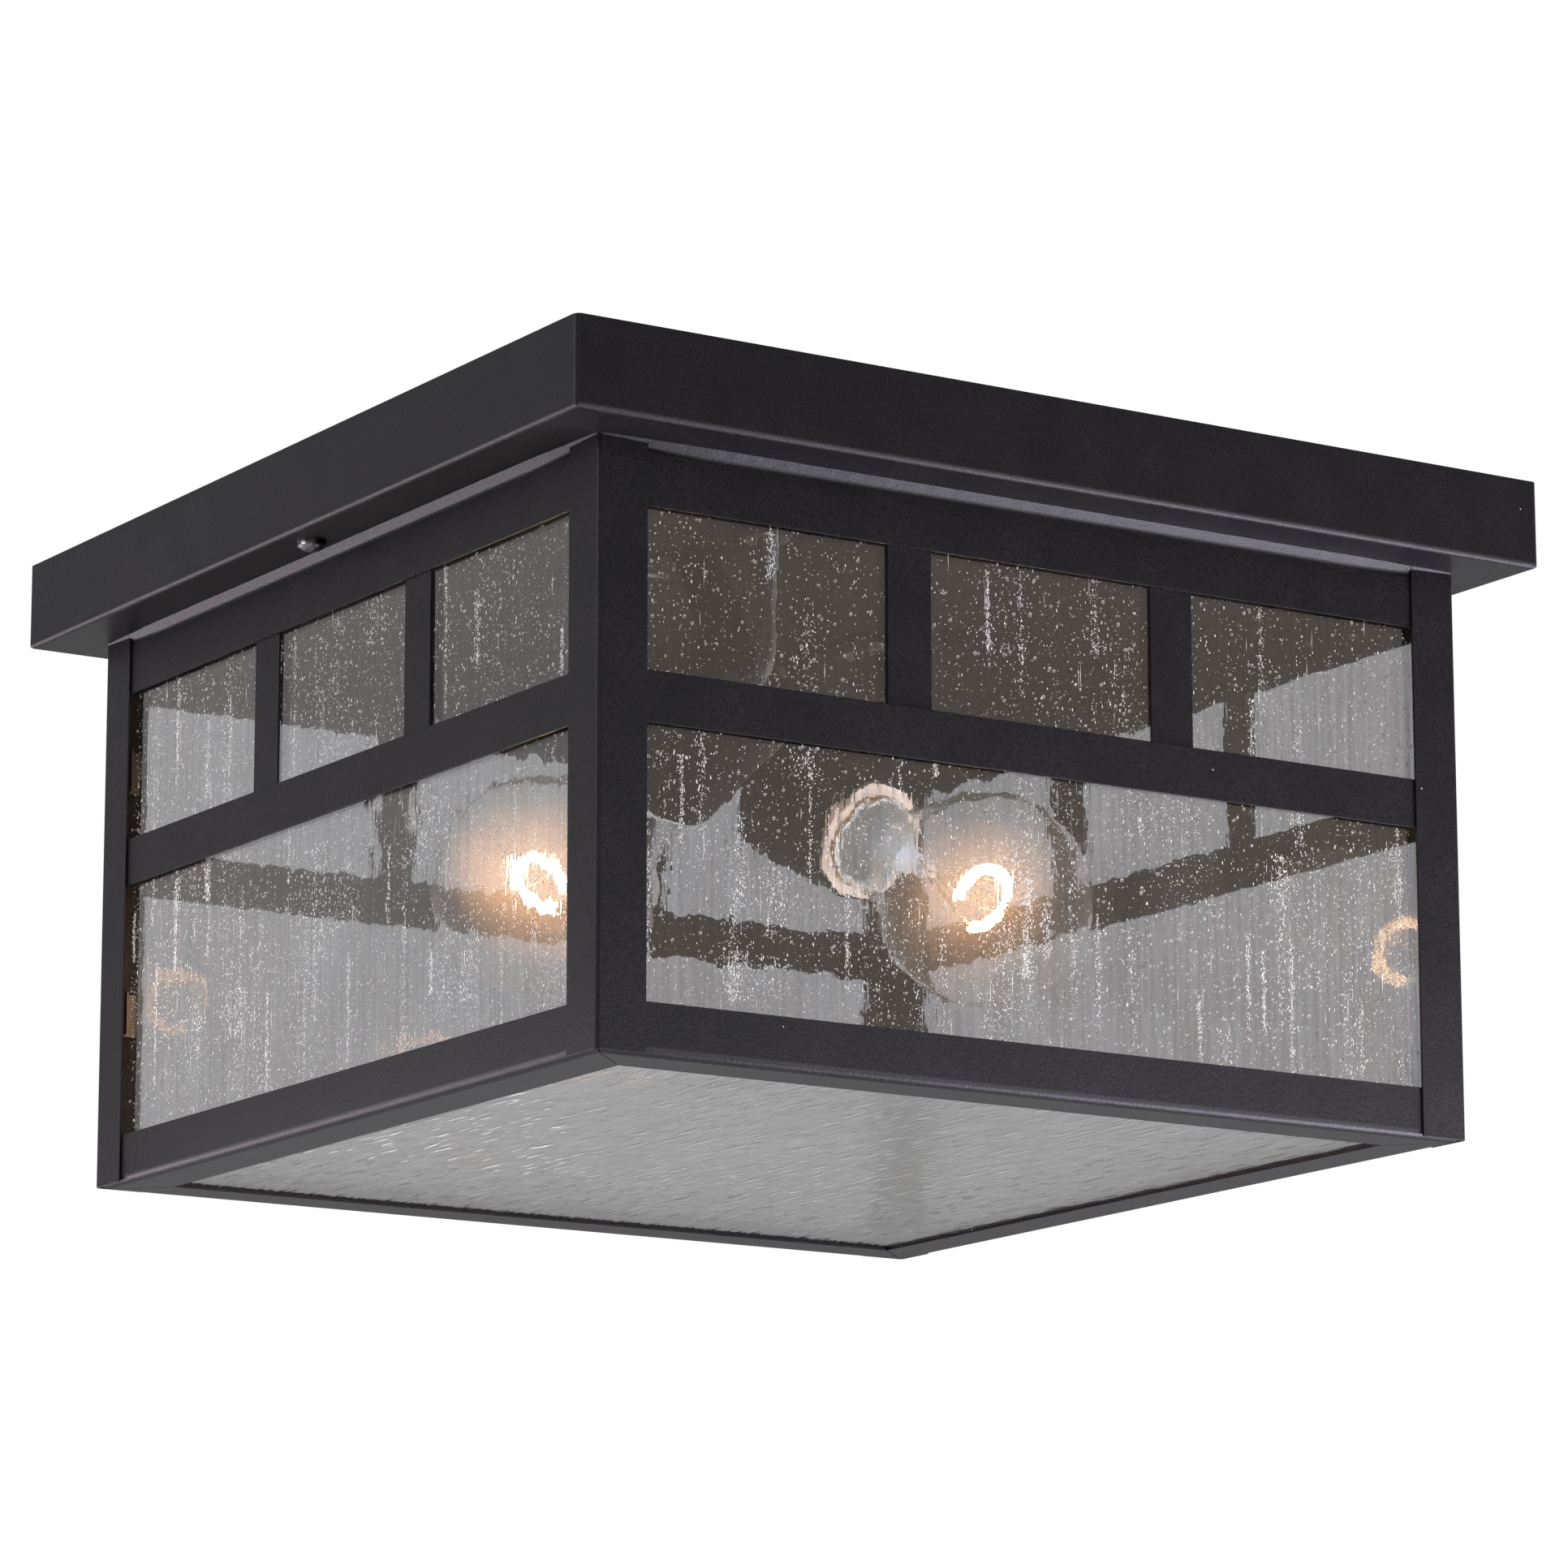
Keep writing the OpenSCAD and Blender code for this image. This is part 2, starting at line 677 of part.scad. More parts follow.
module socket_cup(k) {
    color(bronze)
    on_lamp(k) along_lamp()
        difference() {
            translate([0, 0, -cup_back]) cylinder(r = cup_r + cup_t, h = cup_back - socket_rim);
            translate([0, 0, -socket_l]) cylinder(r = cup_r, h = socket_l);
            translate([0, 0, -cup_back - 1]) cylinder(r = lead_hole_r, h = cup_t + 2);
            for (s = [-1, 1])
                translate([0, s * small_pitch / 2, -cup_back - 1])
                    cylinder(r = small_r + hole_play, h = cup_t + 2);
        }
}

module socket(k) {
    color("#e8e2d6")
    on_lamp(k) along_lamp()
        difference() {
            translate([0, 0, -socket_l]) cylinder(r = socket_r, h = socket_l);
            translate([0, 0, -well_l]) cylinder(r = well_r, h = well_l + 1);
            for (s = [-1, 1])
                translate([0, s * small_pitch / 2, -socket_l - 1])
                    cylinder(r = small_r + hole_play, h = small_screw_bite + 1.2);
        }
}

module screw_shells() {
    color(brass)
    for (k = [0, 1])
        on_lamp(k) along_lamp()
            difference() {
                translate([0, 0, -well_l]) cylinder(r = shell_r + shell_t, h = well_l - 1);
                translate([0, 0, -well_l + shell_t]) cylinder(r = shell_r, h = well_l);
                translate([0, 0, -well_l - 1]) cylinder(r = shell_hole_r, h = shell_t + 2);
            }
}

// A springy tongue that rises from the bottom of the well to the bulb's tip
module socket_contacts() {
    foot = contact_w / 2 - contact_t;
    color(brass)
    for (k = [0, 1])
        on_lamp(k) along_lamp()
            translate([-contact_w / 2, -contact_w, -well_l])
                rotate([90, 0, 90])
                    linear_extrude(contact_w) {
                        square([contact_w, contact_t]);
                        translate([foot, 0]) square([contact_t, contact_rise]);
                        translate([foot, contact_rise - contact_t])
                            square([contact_w + contact_t, contact_t]);
                    }
}

// The half outline of the globe and neck, shrunk by skin: x is the radius and y runs along the lamp
module bulb_outline(skin) {
    top = globe_at - (globe_r - skin) * flare_cos;
    wide = (globe_r - skin) * flare_sin;
    intersection() {
        translate([0, globe_at]) circle(globe_r - skin, $fn = 96);
        translate([0, top]) square([globe_r + 1, 2 * globe_r + 1]);
    }
    difference() {
        union() {
            translate([0, base_out]) square([neck_r - skin, neck_end - base_out]);
            translate([0, neck_end]) square([wide, top - neck_end]);
        }
        translate([neck_r + flare_r, neck_end]) circle(flare_r + skin, $fn = 192);
    }
}

module bulb_glass(k) {
    color([0.9, 0.92, 0.95, 0.3])
    on_lamp(k) along_lamp()
        rotate_extrude($fn = 96)
            difference() {
                bulb_outline(0);
                bulb_outline(bulb_t);
                translate([0, base_out - 1]) square([neck_r - bulb_t, 2]);
            }
}

// The thread is drawn as rings at its pitch; its crests run in the screw shell
module bulb_base(k) {
    first = -base_l + 1.2;
    crest = base_r - thread_depth / 2;
    inner = root_r - base_wall;
    samples = 8;
    wave = [for (i = [0:thread_turns * samples])
        [crest - cos(360 * i / samples) * thread_depth / 2, first + i * thread_pitch / samples]];
    color("#c8c4ba")
    on_lamp(k) along_lamp()
        rotate_extrude()
            polygon(concat(
                [[inner, base_out], [inner, -base_l], [root_r, -base_l]],
                wave,
                [[base_r, first + thread_turns * thread_pitch + 1], [base_r, base_out]]
            ));
}

module bulb_tip(k) {
    shoulder = root_r - base_wall;
    color("#26242a")
    on_lamp(k) along_lamp()
        rotate_extrude()
            polygon([
                [0, -base_l + 1], [shoulder, -base_l + 1], [shoulder, -base_l],
                [tip_r + 1, -base_l - tip_l + 1.5], [tip_r, -base_l - tip_l + 1.5],
                [tip_r - 0.6, -base_l - tip_l], [0, -base_l - tip_l]
            ]);
}

// The glass mount that closes the neck and carries the wires
module bulb_stem(k) {
    rim = neck_r - bulb_t - 0.1;
    waist = 2.2 * stem_r;
    color([0.85, 0.88, 0.9, 0.5])
    on_lamp(k) along_lamp()
        rotate_extrude()
            polygon([
                [0, 0.38 * stem_top], [waist - 0.4, 0.38 * stem_top], [rim / 2 - 0.4, stem_top / 4],
                [rim - 1.5, base_out + 1.2], [rim, base_out + 0.6], [rim, base_out + 1.6],
                [rim / 2 + 0.4, 0.31 * stem_top], [waist, stem_top / 2], [waist, 0.75 * stem_top],
                [stem_r, 0.8 * stem_top], [stem_r, stem_top - 1], [0, stem_top]
            ]);
}

// A round wire from point p to point q
module wire(p, q, r) {
    d = q - p;
    translate(p)
        rotate([0, acos(d[2] / norm(d)), atan2(d[1], d[0])])
            cylinder(r = r, h = norm(d), $fn = 16);
}

// A coiled ring with its gap below, two lead-in wires and three supports
module filament(k) {
    start = ring_middle - filament_arc / 2;
    ring = function (a) [filament_r * cos(a), filament_r * sin(a), filament_at];
    color("#8f8a80")
    on_lamp(k) along_lamp() rotate([0, 0, ring_turn]) {
        translate([0, 0, filament_at])
            rotate([0, 0, start])
                rotate_extrude(angle = filament_arc) translate([filament_r, 0]) circle(coil_r, $fn = 16);
        wire(feed_foot, ring(start), feed_r);
        wire([feed_foot[1], feed_foot[0], feed_foot[2]], ring(start + filament_arc), feed_r);
        for (f = [0.25, 0.5, 0.75])
            wire([0, 0, stem_top - 1.5], ring(start + f * filament_arc), support_r);
    }
}

function unit(v) = v / norm(v);

// Points of a smooth curve through p, with n steps in each span
function smooth(p, n) =
    let (m = len(p) - 1)
    concat([for (i = [0:m - 1])
        let (a = p[max(i - 1, 0)], b = p[i], c = p[i + 1], d = p[min(i + 2, m)])
        for (j = [0:n - 1])
            let (t = j / n)
            0.5 * (2 * b + t * (c - a) + t * t * (2 * a - 5 * b + 4 * c - d)
                + t * t * t * (3 * b - a - 3 * c + d))], [p[m]]);

// Carries a side direction along the curve without twist
function carried(dirs, i, side) = i == len(dirs) ? [] :
    let (s = unit(side - dirs[i] * (side * dirs[i])))
    concat([s], carried(dirs, i + 1, s));

// A closed tube of radius r along the curve through p
module lead(p, r) {
    path = smooth(p, steps_per_span);
    last = len(path) - 1;
    dirs = [for (i = [0:last]) unit(path[min(i + 1, last)] - path[max(i - 1, 0)])];
    sides = carried(dirs, 0, [1, 0, 0]);
    points = [for (i = [0:last]) for (j = [0:ring_sides - 1])
        let (a = 360 * j / ring_sides)
        path[i] + r * (cos(a) * sides[i] + sin(a) * cross(dirs[i], sides[i]))];
    skin = [for (i = [0:last - 1]) for (j = [0:ring_sides - 1])
        let (a = i * ring_sides + j, b = i * ring_sides + (j + 1) % ring_sides)
        each [[a, a + ring_sides, b], [b, a + ring_sides, b + ring_sides]]];
    caps = [for (j = [1:ring_sides - 2])
        each [[0, j, j + 1], [last * ring_sides, last * ring_sides + j + 1, last * ring_sides + j]]];
    polyhedron(points, concat(skin, caps));
}

// The way from the right socket's back, up through its grommet; side is -1 or 1
function rise_route(side) = [
    lamp_point(-lead_start, side * lead_pitch / 2, 0),
    lamp_point(-lead_start - 10, side * lead_pitch / 2, 0),
    [grommet_x + side * lead_pitch / 2, grommet_y, -44],
    [grommet_x + side * lead_pitch / 2, grommet_y, -32],
    [grommet_x + side * lead_pitch / 2, grommet_y, -20]
];

// From the right grommet straight to the near wire nut
function near_route(level) = concat(rise_route(-1), [
    [38, 65, level - 3], [30, 60, level - 1], [18, 54, -12],
    nut_mouth + [2, 1.6, 0], nut_mouth + [-2, 1.6, 0]
]);

// From the right grommet across the pan to the far wire nut
function far_route(level) = concat(rise_route(1), [
    [43.6, 62, level - 2], [36, 52, level], [18, 24, level], [-8, -6, level], [-24, -32, level],
    [-23, -45, -13],
    -nut_mouth + [-3, 1.6, -26], -nut_mouth + [2, 1.6, -26]
]);

module black_leads() {
    color("#1c1c1e") {
        lead(near_route(black_level), lead_r);
        rotate([0, 0, 180]) lead(far_route(black_level), lead_r);
    }
}

module white_leads() {
    color("#e6e4de") {
        rotate([0, 0, 180]) lead(near_route(white_level), lead_r);
        lead(far_route(white_level), lead_r);
    }
}

// A tapered connector with an open mouth that the leads go into
module wire_nuts() {
    color("#c8742c")
    for (k = [0, 1])
        rotate([0, 0, 180 * k])
            translate(nut_mouth)
                rotate([0, -90, 0])
                    rotate_extrude()
                        polygon([
                            [nut_r - nut_wall, 0], [nut_r, 0], [nut_r, 0.3 * nut_l],
                            [0.67 * nut_r, nut_l - nut_wall], [nut_r / 2, nut_l], [0, nut_l],
                            [0, nut_bite], [nut_r - nut_wall, nut_bite]
                        ]);
}

module earth_wire() {
    color("#3f7a44")
    lead([
        [earth_bar[0] - small_head_r - 1, earth_bar[1], -bar_t - 1],
        [earth_bar[0] - 10, earth_bar[1] + 2, -5],
        [earth_plate[0] - 4, earth_plate[1] - 14, -12],
        [earth_plate[0] - 2, earth_plate[1] - 8, -plate_top + 2],
        [earth_plate[0], earth_plate[1] - small_head_r - 1, -plate_top + 1]
    ], 0.9);
}

crossbar();
crossbar_screws();
jam_nuts();
cap_nuts();
mounting_plate();
clinch_nuts();
lead_grommets();
earth_screws();
earth_wire();
black_leads();
white_leads();
wire_nuts();
lamp_bracket(0);  // lamp_bracket_right
lamp_bracket(1);  // lamp_bracket_left
small_screws();
socket_cup(0);  // socket_cup_right
socket_cup(1);  // socket_cup_left
socket(0);  // socket_right
socket(1);  // socket_left
screw_shells();
socket_contacts();
bulb_glass(0);  // bulb_glass_right
bulb_base(0);  // bulb_base_right
bulb_tip(0);  // bulb_tip_right
bulb_stem(0);  // bulb_stem_right
filament(0);  // filament_right
bulb_glass(1);  // bulb_glass_left
bulb_base(1);  // bulb_base_left
bulb_tip(1);  // bulb_tip_left
bulb_stem(1);  // bulb_stem_left
filament(1);  // filament_left
ceiling_pan();
post(0);  // post_front_left
post(1);  // post_front_right
post(2);  // post_back_right
post(3);  // post_back_left
top_rail(0);  // top_rail_front
top_rail(1);  // top_rail_right
top_rail(2);  // top_rail_back
top_rail(3);  // top_rail_left
mid_rail(0);  // mid_rail_front
mid_rail(1);  // mid_rail_right
mid_rail(2);  // mid_rail_back
mid_rail(3);  // mid_rail_left
bottom_rail(0);  // bottom_rail_front
bottom_rail(1);  // bottom_rail_right
bottom_rail(2);  // bottom_rail_back
bottom_rail(3);  // bottom_rail_left
mullions(0);  // mullions_front
mullions(1);  // mullions_right
mullions(2);  // mullions_back
mullions(3);  // mullions_left
pane(0);  // pane_front
pane(1);  // pane_right
pane(2);  // pane_back_side
pane(3);  // pane_left
bottom_pane();
glass_clips();
body_screw(-1);  // body_screw_left
body_screw(1);  // body_screw_right
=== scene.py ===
# %% [markdown]
# # A square outdoor ceiling light
# The light hangs from a ceiling: a flat pan, and below it a lantern cage with seeded glass and two
# clear bulbs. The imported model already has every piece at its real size, so this lesson dresses it:
# each cell takes one piece or one finish of the real light and builds it in Blender.

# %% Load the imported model
import json
import math
import random

import bmesh
import bpy
from mathutils import Matrix, Vector


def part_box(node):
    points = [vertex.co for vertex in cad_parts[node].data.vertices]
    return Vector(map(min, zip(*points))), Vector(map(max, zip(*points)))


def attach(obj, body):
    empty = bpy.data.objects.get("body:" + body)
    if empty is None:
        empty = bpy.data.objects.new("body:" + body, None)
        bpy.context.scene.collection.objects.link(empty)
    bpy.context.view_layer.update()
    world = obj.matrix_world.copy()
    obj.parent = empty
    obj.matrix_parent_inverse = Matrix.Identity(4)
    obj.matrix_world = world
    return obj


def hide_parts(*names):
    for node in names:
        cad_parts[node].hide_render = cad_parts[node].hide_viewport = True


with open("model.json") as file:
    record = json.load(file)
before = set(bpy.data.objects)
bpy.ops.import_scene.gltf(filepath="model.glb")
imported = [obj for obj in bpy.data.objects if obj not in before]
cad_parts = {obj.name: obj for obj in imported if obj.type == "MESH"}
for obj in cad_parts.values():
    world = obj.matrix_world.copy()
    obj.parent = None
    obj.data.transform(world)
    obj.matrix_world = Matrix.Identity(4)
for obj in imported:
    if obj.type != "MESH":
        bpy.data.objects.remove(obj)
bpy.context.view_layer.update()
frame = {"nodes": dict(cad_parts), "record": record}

nodes = frame["nodes"]

MM = 0.001
scene = bpy.context.scene
scene.view_settings.view_transform = "Standard"

# %% [markdown]
# The photograph looks up at the near corner from a little below the light, with a long lens. A camera
# could be placed by eye, but here the straight edges of the pan and the cage were matched to it, which
# gives the place, the direction and the lens. The small roll is the tilt of a hand-held picture.

# %% The camera
CAMERA_PLACE = Vector((-0.9228, -1.4448, -0.4446))
CAMERA_AZIMUTH = math.radians(32.744)
CAMERA_ELEVATION = math.radians(12.205)
CAMERA_ROLL = math.radians(-0.084)
LENS_MM, SENSOR_MM = 145.42, 36


def make_camera():
    data = bpy.data.cameras.new("camera")
    data.sensor_fit = "HORIZONTAL"
    data.sensor_width = SENSOR_MM
    data.lens = LENS_MM
    camera = bpy.data.objects.new("camera", data)
    ahead = Vector((
        math.sin(CAMERA_AZIMUTH) * math.cos(CAMERA_ELEVATION),
        math.cos(CAMERA_AZIMUTH) * math.cos(CAMERA_ELEVATION),
        math.sin(CAMERA_ELEVATION),
    ))
    turn = ahead.to_track_quat("-Z", "Y").to_matrix().to_4x4()
    roll = Matrix.Rotation(CAMERA_ROLL, 4, "Z")
    camera.matrix_world = Matrix.Translation(CAMERA_PLACE) @ turn @ roll
    scene.collection.objects.link(camera)
    scene.camera = camera
    return camera


camera = make_camera()
print("camera at", [round(v, 3) for v in camera.location], "lens", round(LENS_MM, 1))

# %% [markdown]
# A studio for a dark, half glossy metal needs soft lights in the right places, because what shows on
# the folds is the reflection of those lights. For each fold there is one direction in which it
# mirrors the camera, and a panel stands there: one below to the right for the front folds, one low
# behind for the left folds, two strips for the upright folds of the near post, and two small cards
# close to the lower rails. They are so strong that a pane would mirror each one as a white patch from
# some side. A photographer would shade the glass with a black card; here Blender's light linking does
# the same. Weak wide panels fill the rest, so that the light looks right from every side.

# %% Soft lights
WATTS_PER_RADIANCE = 4.0


def soft_panel(name, place, aim, width, height, radiance, tint=(1, 1, 1)):
    """A rectangular lamp of an even brightness; its watts follow from its area."""
    data = bpy.data.lights.new(name, "AREA")
    data.shape = "RECTANGLE"
    data.size, data.size_y = width, height
    data.energy = radiance * WATTS_PER_RADIANCE * width * height
    data.color = tint
    lamp = bpy.data.objects.new(name, data)
    back = (Vector(place) - Vector(aim)).normalized()
    side = (Vector((1, 0, 0)) - back * back.x).normalized()
    turn = Matrix((side, back.cross(side), back)).transposed().to_4x4()
    lamp.matrix_world = Matrix.Translation(place) @ turn
    lamp.visible_camera = False
    lamp.visible_transmission = False
    scene.collection.objects.link(lamp)
    return lamp


SIDE_PANES = ("pane_front", "pane_right", "pane_back_side", "pane_left")
spared = bpy.data.collections.new("panes_spared_by_strong_lamps")
for pane in SIDE_PANES + ("bottom_pane",):
    spared.objects.link(nodes[pane])
for entry in spared.collection_objects:
    entry.light_linking.link_state = "EXCLUDE"

# Each row gives the name, the place, the point it aims at, the width, height and brightness, the tint.
NEAR_POST = (-0.13, -0.13, -0.1)
METAL_PANELS = (
    ("panel_below", (0.38, -0.28, -0.58), (0, -0.14, -0.05), 0.52, 0.20, 61.0, (0.90, 0.91, 1.0)),
    ("panel_behind", (-0.44, 0.98, -0.55), (-0.14, 0, -0.05), 0.32, 0.55, 15.0, (1.0, 0.88, 0.94)),
    ("strip_left", (-1.94, 0.28, 0.32), NEAR_POST, 0.8, 1.3, 13.0, (0.95, 0.95, 1.0)),
    ("strip_near", (-1.22, -2.1, 0.4), NEAR_POST, 1.2, 1.2, 4.0, (0.97, 0.97, 1.0)),
    ("card_front", (0.18, -0.42, -0.245), (0.02, -0.14, -0.18), 0.5, 0.18, 12.0, (0.98, 0.98, 1.0)),
    ("card_left", (-0.33, 0.17, -0.215), (-0.14, -0.08, -0.17), 0.2, 0.14, 6.0, (1.0, 0.92, 0.95)),
)
LANTERN_MIDDLE = (0, 0, -0.1)
WIDE_PANELS = (
    ("panel_front", (1.2, -2.4, 0.3), LANTERN_MIDDLE, 1.4, 1.2, 0.8),
    ("panel_back", (0.6, 2.4, 0.4), LANTERN_MIDDLE, 1.6, 1.2, 1.0),
    ("panel_top", (-0.5, -0.4, 1.6), LANTERN_MIDDLE, 1.4, 1.4, 1.4),
)
for settings in METAL_PANELS:
    soft_panel(*settings).light_linking.receiver_collection = spared
for settings in WIDE_PANELS:
    soft_panel(*settings)

# %% [markdown]
# Every material here is a small tree of nodes. A few helpers keep the cells short: one adds a node
# with its values set, and the others are the nodes used most, a sum, a blend of two colours, a smooth
# step, a noise and a bump. Values are given to a node's sockets by name, so that a cell reads like a
# list of settings.

# %% Helpers for single nodes


def set_socket(tree, socket, value):
    """Joins the socket to another node's output, or gives it a plain value."""
    if isinstance(value, bpy.types.NodeSocket):
        tree.links.new(value, socket)
    else:
        socket.default_value = value


def add_node(tree, kind, props=None, **values):
    """Adds a node. props sets its own settings, and values its sockets, by name or as i0, i1, i2."""
    node = tree.nodes.new(kind)
    for key, value in (props or {}).items():
        setattr(node, key, value)
    for key, value in values.items():
        which = int(key[1:]) if key.startswith("i") else key.replace("_", " ")
        set_socket(tree, node.inputs[which], value)
    return node


def maths(tree, operation, *values):
    """One Math node; returns its output."""
    node = add_node(tree, "ShaderNodeMath", {"operation": operation})
    for socket, value in zip(node.inputs, values):
        set_socket(tree, socket, value)
    return node.outputs[0]


def blend_colours(tree, factor, *colours):
    """A Mix node from one colour to another; returns its output. A plain colour has three numbers."""
    a, b = (c if isinstance(c, bpy.types.NodeSocket) else (*c, 1) for c in colours)
    node = add_node(tree, "ShaderNodeMix", {"data_type": "RGBA"}, Factor=factor, A=a, B=b)
    return node.outputs["Result"]


def ramp(tree, value, low, high):
    """A smooth step: 0 below low and 1 above high."""
    smooth = {"interpolation_type": "SMOOTHSTEP"}
    node = add_node(tree, "ShaderNodeMapRange", smooth, Value=value, From_Min=low, From_Max=high)
    return node.outputs["Result"]


def noise(tree, place, scale, detail, dimensions="3D"):
    """A Noise node, with its scale in waves per metre; returns its grey value."""
    space = {"noise_dimensions": dimensions}
    node = add_node(tree, "ShaderNodeTexNoise", space, Vector=place, Scale=scale, Detail=detail)
    return node.outputs["Fac"]


def place_of(tree):
    """The place on the object, in metres."""
    return tree.nodes.new("ShaderNodeTexCoord").outputs["Object"]


def add_bump(tree, shader, height):
    """Bends the shader's normal by the slopes of a height in metres."""
    bump = add_node(tree, "ShaderNodeBump", Strength=1.0, Distance=1.0, Height=height)
    tree.links.new(bump.outputs["Normal"], shader.inputs["Normal"])


print("node helpers ready")

# %% [markdown]
# The next helpers make whole materials. Most have one Principled shader. Glass and the floor mix it
# with others, and an effect that several materials share is a node group with named sockets.

# %% Helpers for materials and groups


def new_material(name, base, roughness, metallic=0.0, specular=0.5):
    """A material with one Principled shader; returns the material, its tree and the shader."""
    material = bpy.data.materials.new(name)
    material.use_nodes = True
    tree = material.node_tree
    shader = tree.nodes["Principled BSDF"]
    shader.inputs["Base Color"].default_value = (*base, 1)
    shader.inputs["Roughness"].default_value = roughness
    shader.inputs["Metallic"].default_value = metallic
    shader.inputs["Specular IOR Level"].default_value = specular
    return material, tree, shader


def mix_shaders(tree, share, first, second):
    """A Mix Shader node; the share is that of the second."""
    return add_node(tree, "ShaderNodeMixShader", i0=share, i1=first.outputs[0], i2=second.outputs[0])


def show(tree, surface):
    """Joins the last shader to the material's surface."""
    tree.links.new(surface.outputs[0], tree.nodes["Material Output"].inputs["Surface"])


def new_group(name, inputs, outputs):
    """A group whose sockets are numbers, but for Vector; returns the group and its two ends."""
    group = bpy.data.node_groups.new(name, "ShaderNodeTree")
    for in_out, sockets in (("INPUT", inputs), ("OUTPUT", outputs)):
        for socket in sockets:
            kind = "NodeSocketVector" if socket == "Vector" else "NodeSocketFloat"
            group.interface.new_socket(socket, in_out=in_out, socket_type=kind)
    return group, group.nodes.new("NodeGroupInput"), group.nodes.new("NodeGroupOutput")


def use_group(tree, group, **values):
    """Places a group in a tree; its inputs are given by name."""
    return add_node(tree, "ShaderNodeGroup", {"node_tree": group}, **values)


print("material helpers ready")

# %% [markdown]
# The picture is cut out on white, so the world is white for the camera, and also for mirror and glass
# rays, which show the same background. Only the light that the world gives to plain surfaces is
# weaker. The Light Path node tells these rays apart. The pale floor is a plain sheet far below the
# light. A view from further down has to look up through it, so it is clear from below.

# %% The white world and the pale floor
WORLD_FILL = (0.45, 0.45, 0.45)
FLOOR_COLOUR = (0.85, 0.85, 0.85)
FLOOR_LEVEL = -0.62
FLOOR_SIZE = 9.0


def seen_directly(tree):
    """1 for camera, glossy and transmission rays, 0 for the rest."""
    rays = tree.nodes.new("ShaderNodeLightPath").outputs
    mirrored = maths(tree, "MAXIMUM", rays["Is Camera Ray"], rays["Is Glossy Ray"])
    return maths(tree, "MAXIMUM", mirrored, rays["Is Transmission Ray"])


def make_world():
    world = bpy.data.worlds.new("white_studio")
    scene.world = world
    world.use_nodes = True
    tree = world.node_tree
    colour = blend_colours(tree, seen_directly(tree), WORLD_FILL, (1, 1, 1))
    tree.links.new(colour, tree.nodes["Background"].inputs["Color"])


def make_floor():
    mesh = bpy.data.meshes.new("floor")
    half = FLOOR_SIZE / 2
    corners = ((-half, -half), (half, -half), (half, half), (-half, half))
    mesh.from_pydata([(x, y, FLOOR_LEVEL) for x, y in corners], [], [(0, 1, 2, 3)])
    floor = bpy.data.objects.new("floor", mesh)
    scene.collection.objects.link(floor)
    material, tree, shader = new_material("pale_floor", FLOOR_COLOUR, 0.9, specular=0.1)
    below = tree.nodes.new("ShaderNodeNewGeometry").outputs["Backfacing"]
    clear = tree.nodes.new("ShaderNodeBsdfTransparent")
    show(tree, mix_shaders(tree, below, shader, clear))
    mesh.materials.append(material)


make_world()
make_floor()
print("floor at", FLOOR_LEVEL)

# %% [markdown]
# The bronze finish is a powder coat: sprayed powder that melts into a skin with a fine pebbled grain,
# like very small orange peel. It could be a picture, but a noise at the right scale looks the same
# from all sides. Two noises are added, one for the pebbles and one for the slow unevenness of the
# skin. The group gives a height for the bump, a soft mask for the skin's uneven tone, and a mask of
# the pebbles with which the coat darkens their low parts: painted shade in the grain's hollows.

# %% Effect: the grain of a powder coat
COAT_UNEVEN_SCALE = 60.0


def make_coat_grain():
    group, start, end = new_group(
        "coat_grain", ("Vector", "Pebble", "Depth"), ("Height", "Mottle", "Pebble_shade_mask")
    )
    place = start.outputs["Vector"]
    pebbles = noise(group, place, start.outputs["Pebble"], 2.0)
    slow = noise(group, place, COAT_UNEVEN_SCALE, 3.0)
    height = maths(group, "MULTIPLY", pebbles, start.outputs["Depth"])
    group.links.new(height, end.inputs["Height"])
    group.links.new(ramp(group, slow, 0.3, 0.7), end.inputs["Mottle"])
    group.links.new(ramp(group, pebbles, 0.32, 0.58), end.inputs["Pebble_shade_mask"])
    return group


coat_grain = make_coat_grain()
print("group:", coat_grain.name)

# %% [markdown]
# A product that has been handled has a few specks of dust and some short hairline scratches. Specks
# are cells of a Voronoi texture that are kept only where a random value says so, and a scratch is the
# same thing stretched along one direction. Both are rare, because a new light is nearly clean.

# %% Effect: dust specks and hairline scratches
DUST_SCALE, DUST_RADIUS = 260.0, 0.05
SCRATCH_SCALE, SCRATCH_RADIUS = 220.0, 0.035
SCRATCH_TURN = (0.6, 0.5, 0.7)
SCRATCH_STRETCH = (1.0, 1.0, 0.07)
SCRATCHES_PER_SPECK = 0.5


def cell_dots(tree, place, scale, radius, share):
    """1 inside round dots: one in each cell of the texture, kept in that share of the cells."""
    cells = add_node(tree, "ShaderNodeTexVoronoi", Vector=place, Scale=scale)
    pick = add_node(tree, "ShaderNodeSeparateColor", Color=cells.outputs["Color"])
    kept = maths(tree, "LESS_THAN", pick.outputs["Red"], share)
    inside = maths(tree, "LESS_THAN", cells.outputs["Distance"], radius)
    return maths(tree, "MULTIPLY", kept, inside)


def make_specks():
    group, start, end = new_group("specks_and_scratches", ("Vector", "Share"), ("Mask",))
    place, share = start.outputs["Vector"], start.outputs["Share"]
    dust = cell_dots(group, place, DUST_SCALE, DUST_RADIUS, share)
    drawn = add_node(
        group, "ShaderNodeMapping", Vector=place, Rotation=SCRATCH_TURN, Scale=SCRATCH_STRETCH
    ).outputs["Vector"]
    fewer = maths(group, "MULTIPLY", share, SCRATCHES_PER_SPECK)
    scratches = cell_dots(group, drawn, SCRATCH_SCALE, SCRATCH_RADIUS, fewer)
    group.links.new(maths(group, "MAXIMUM", dust, scratches), end.inputs["Mask"])
    return group


specks = make_specks()
print("group:", specks.name)

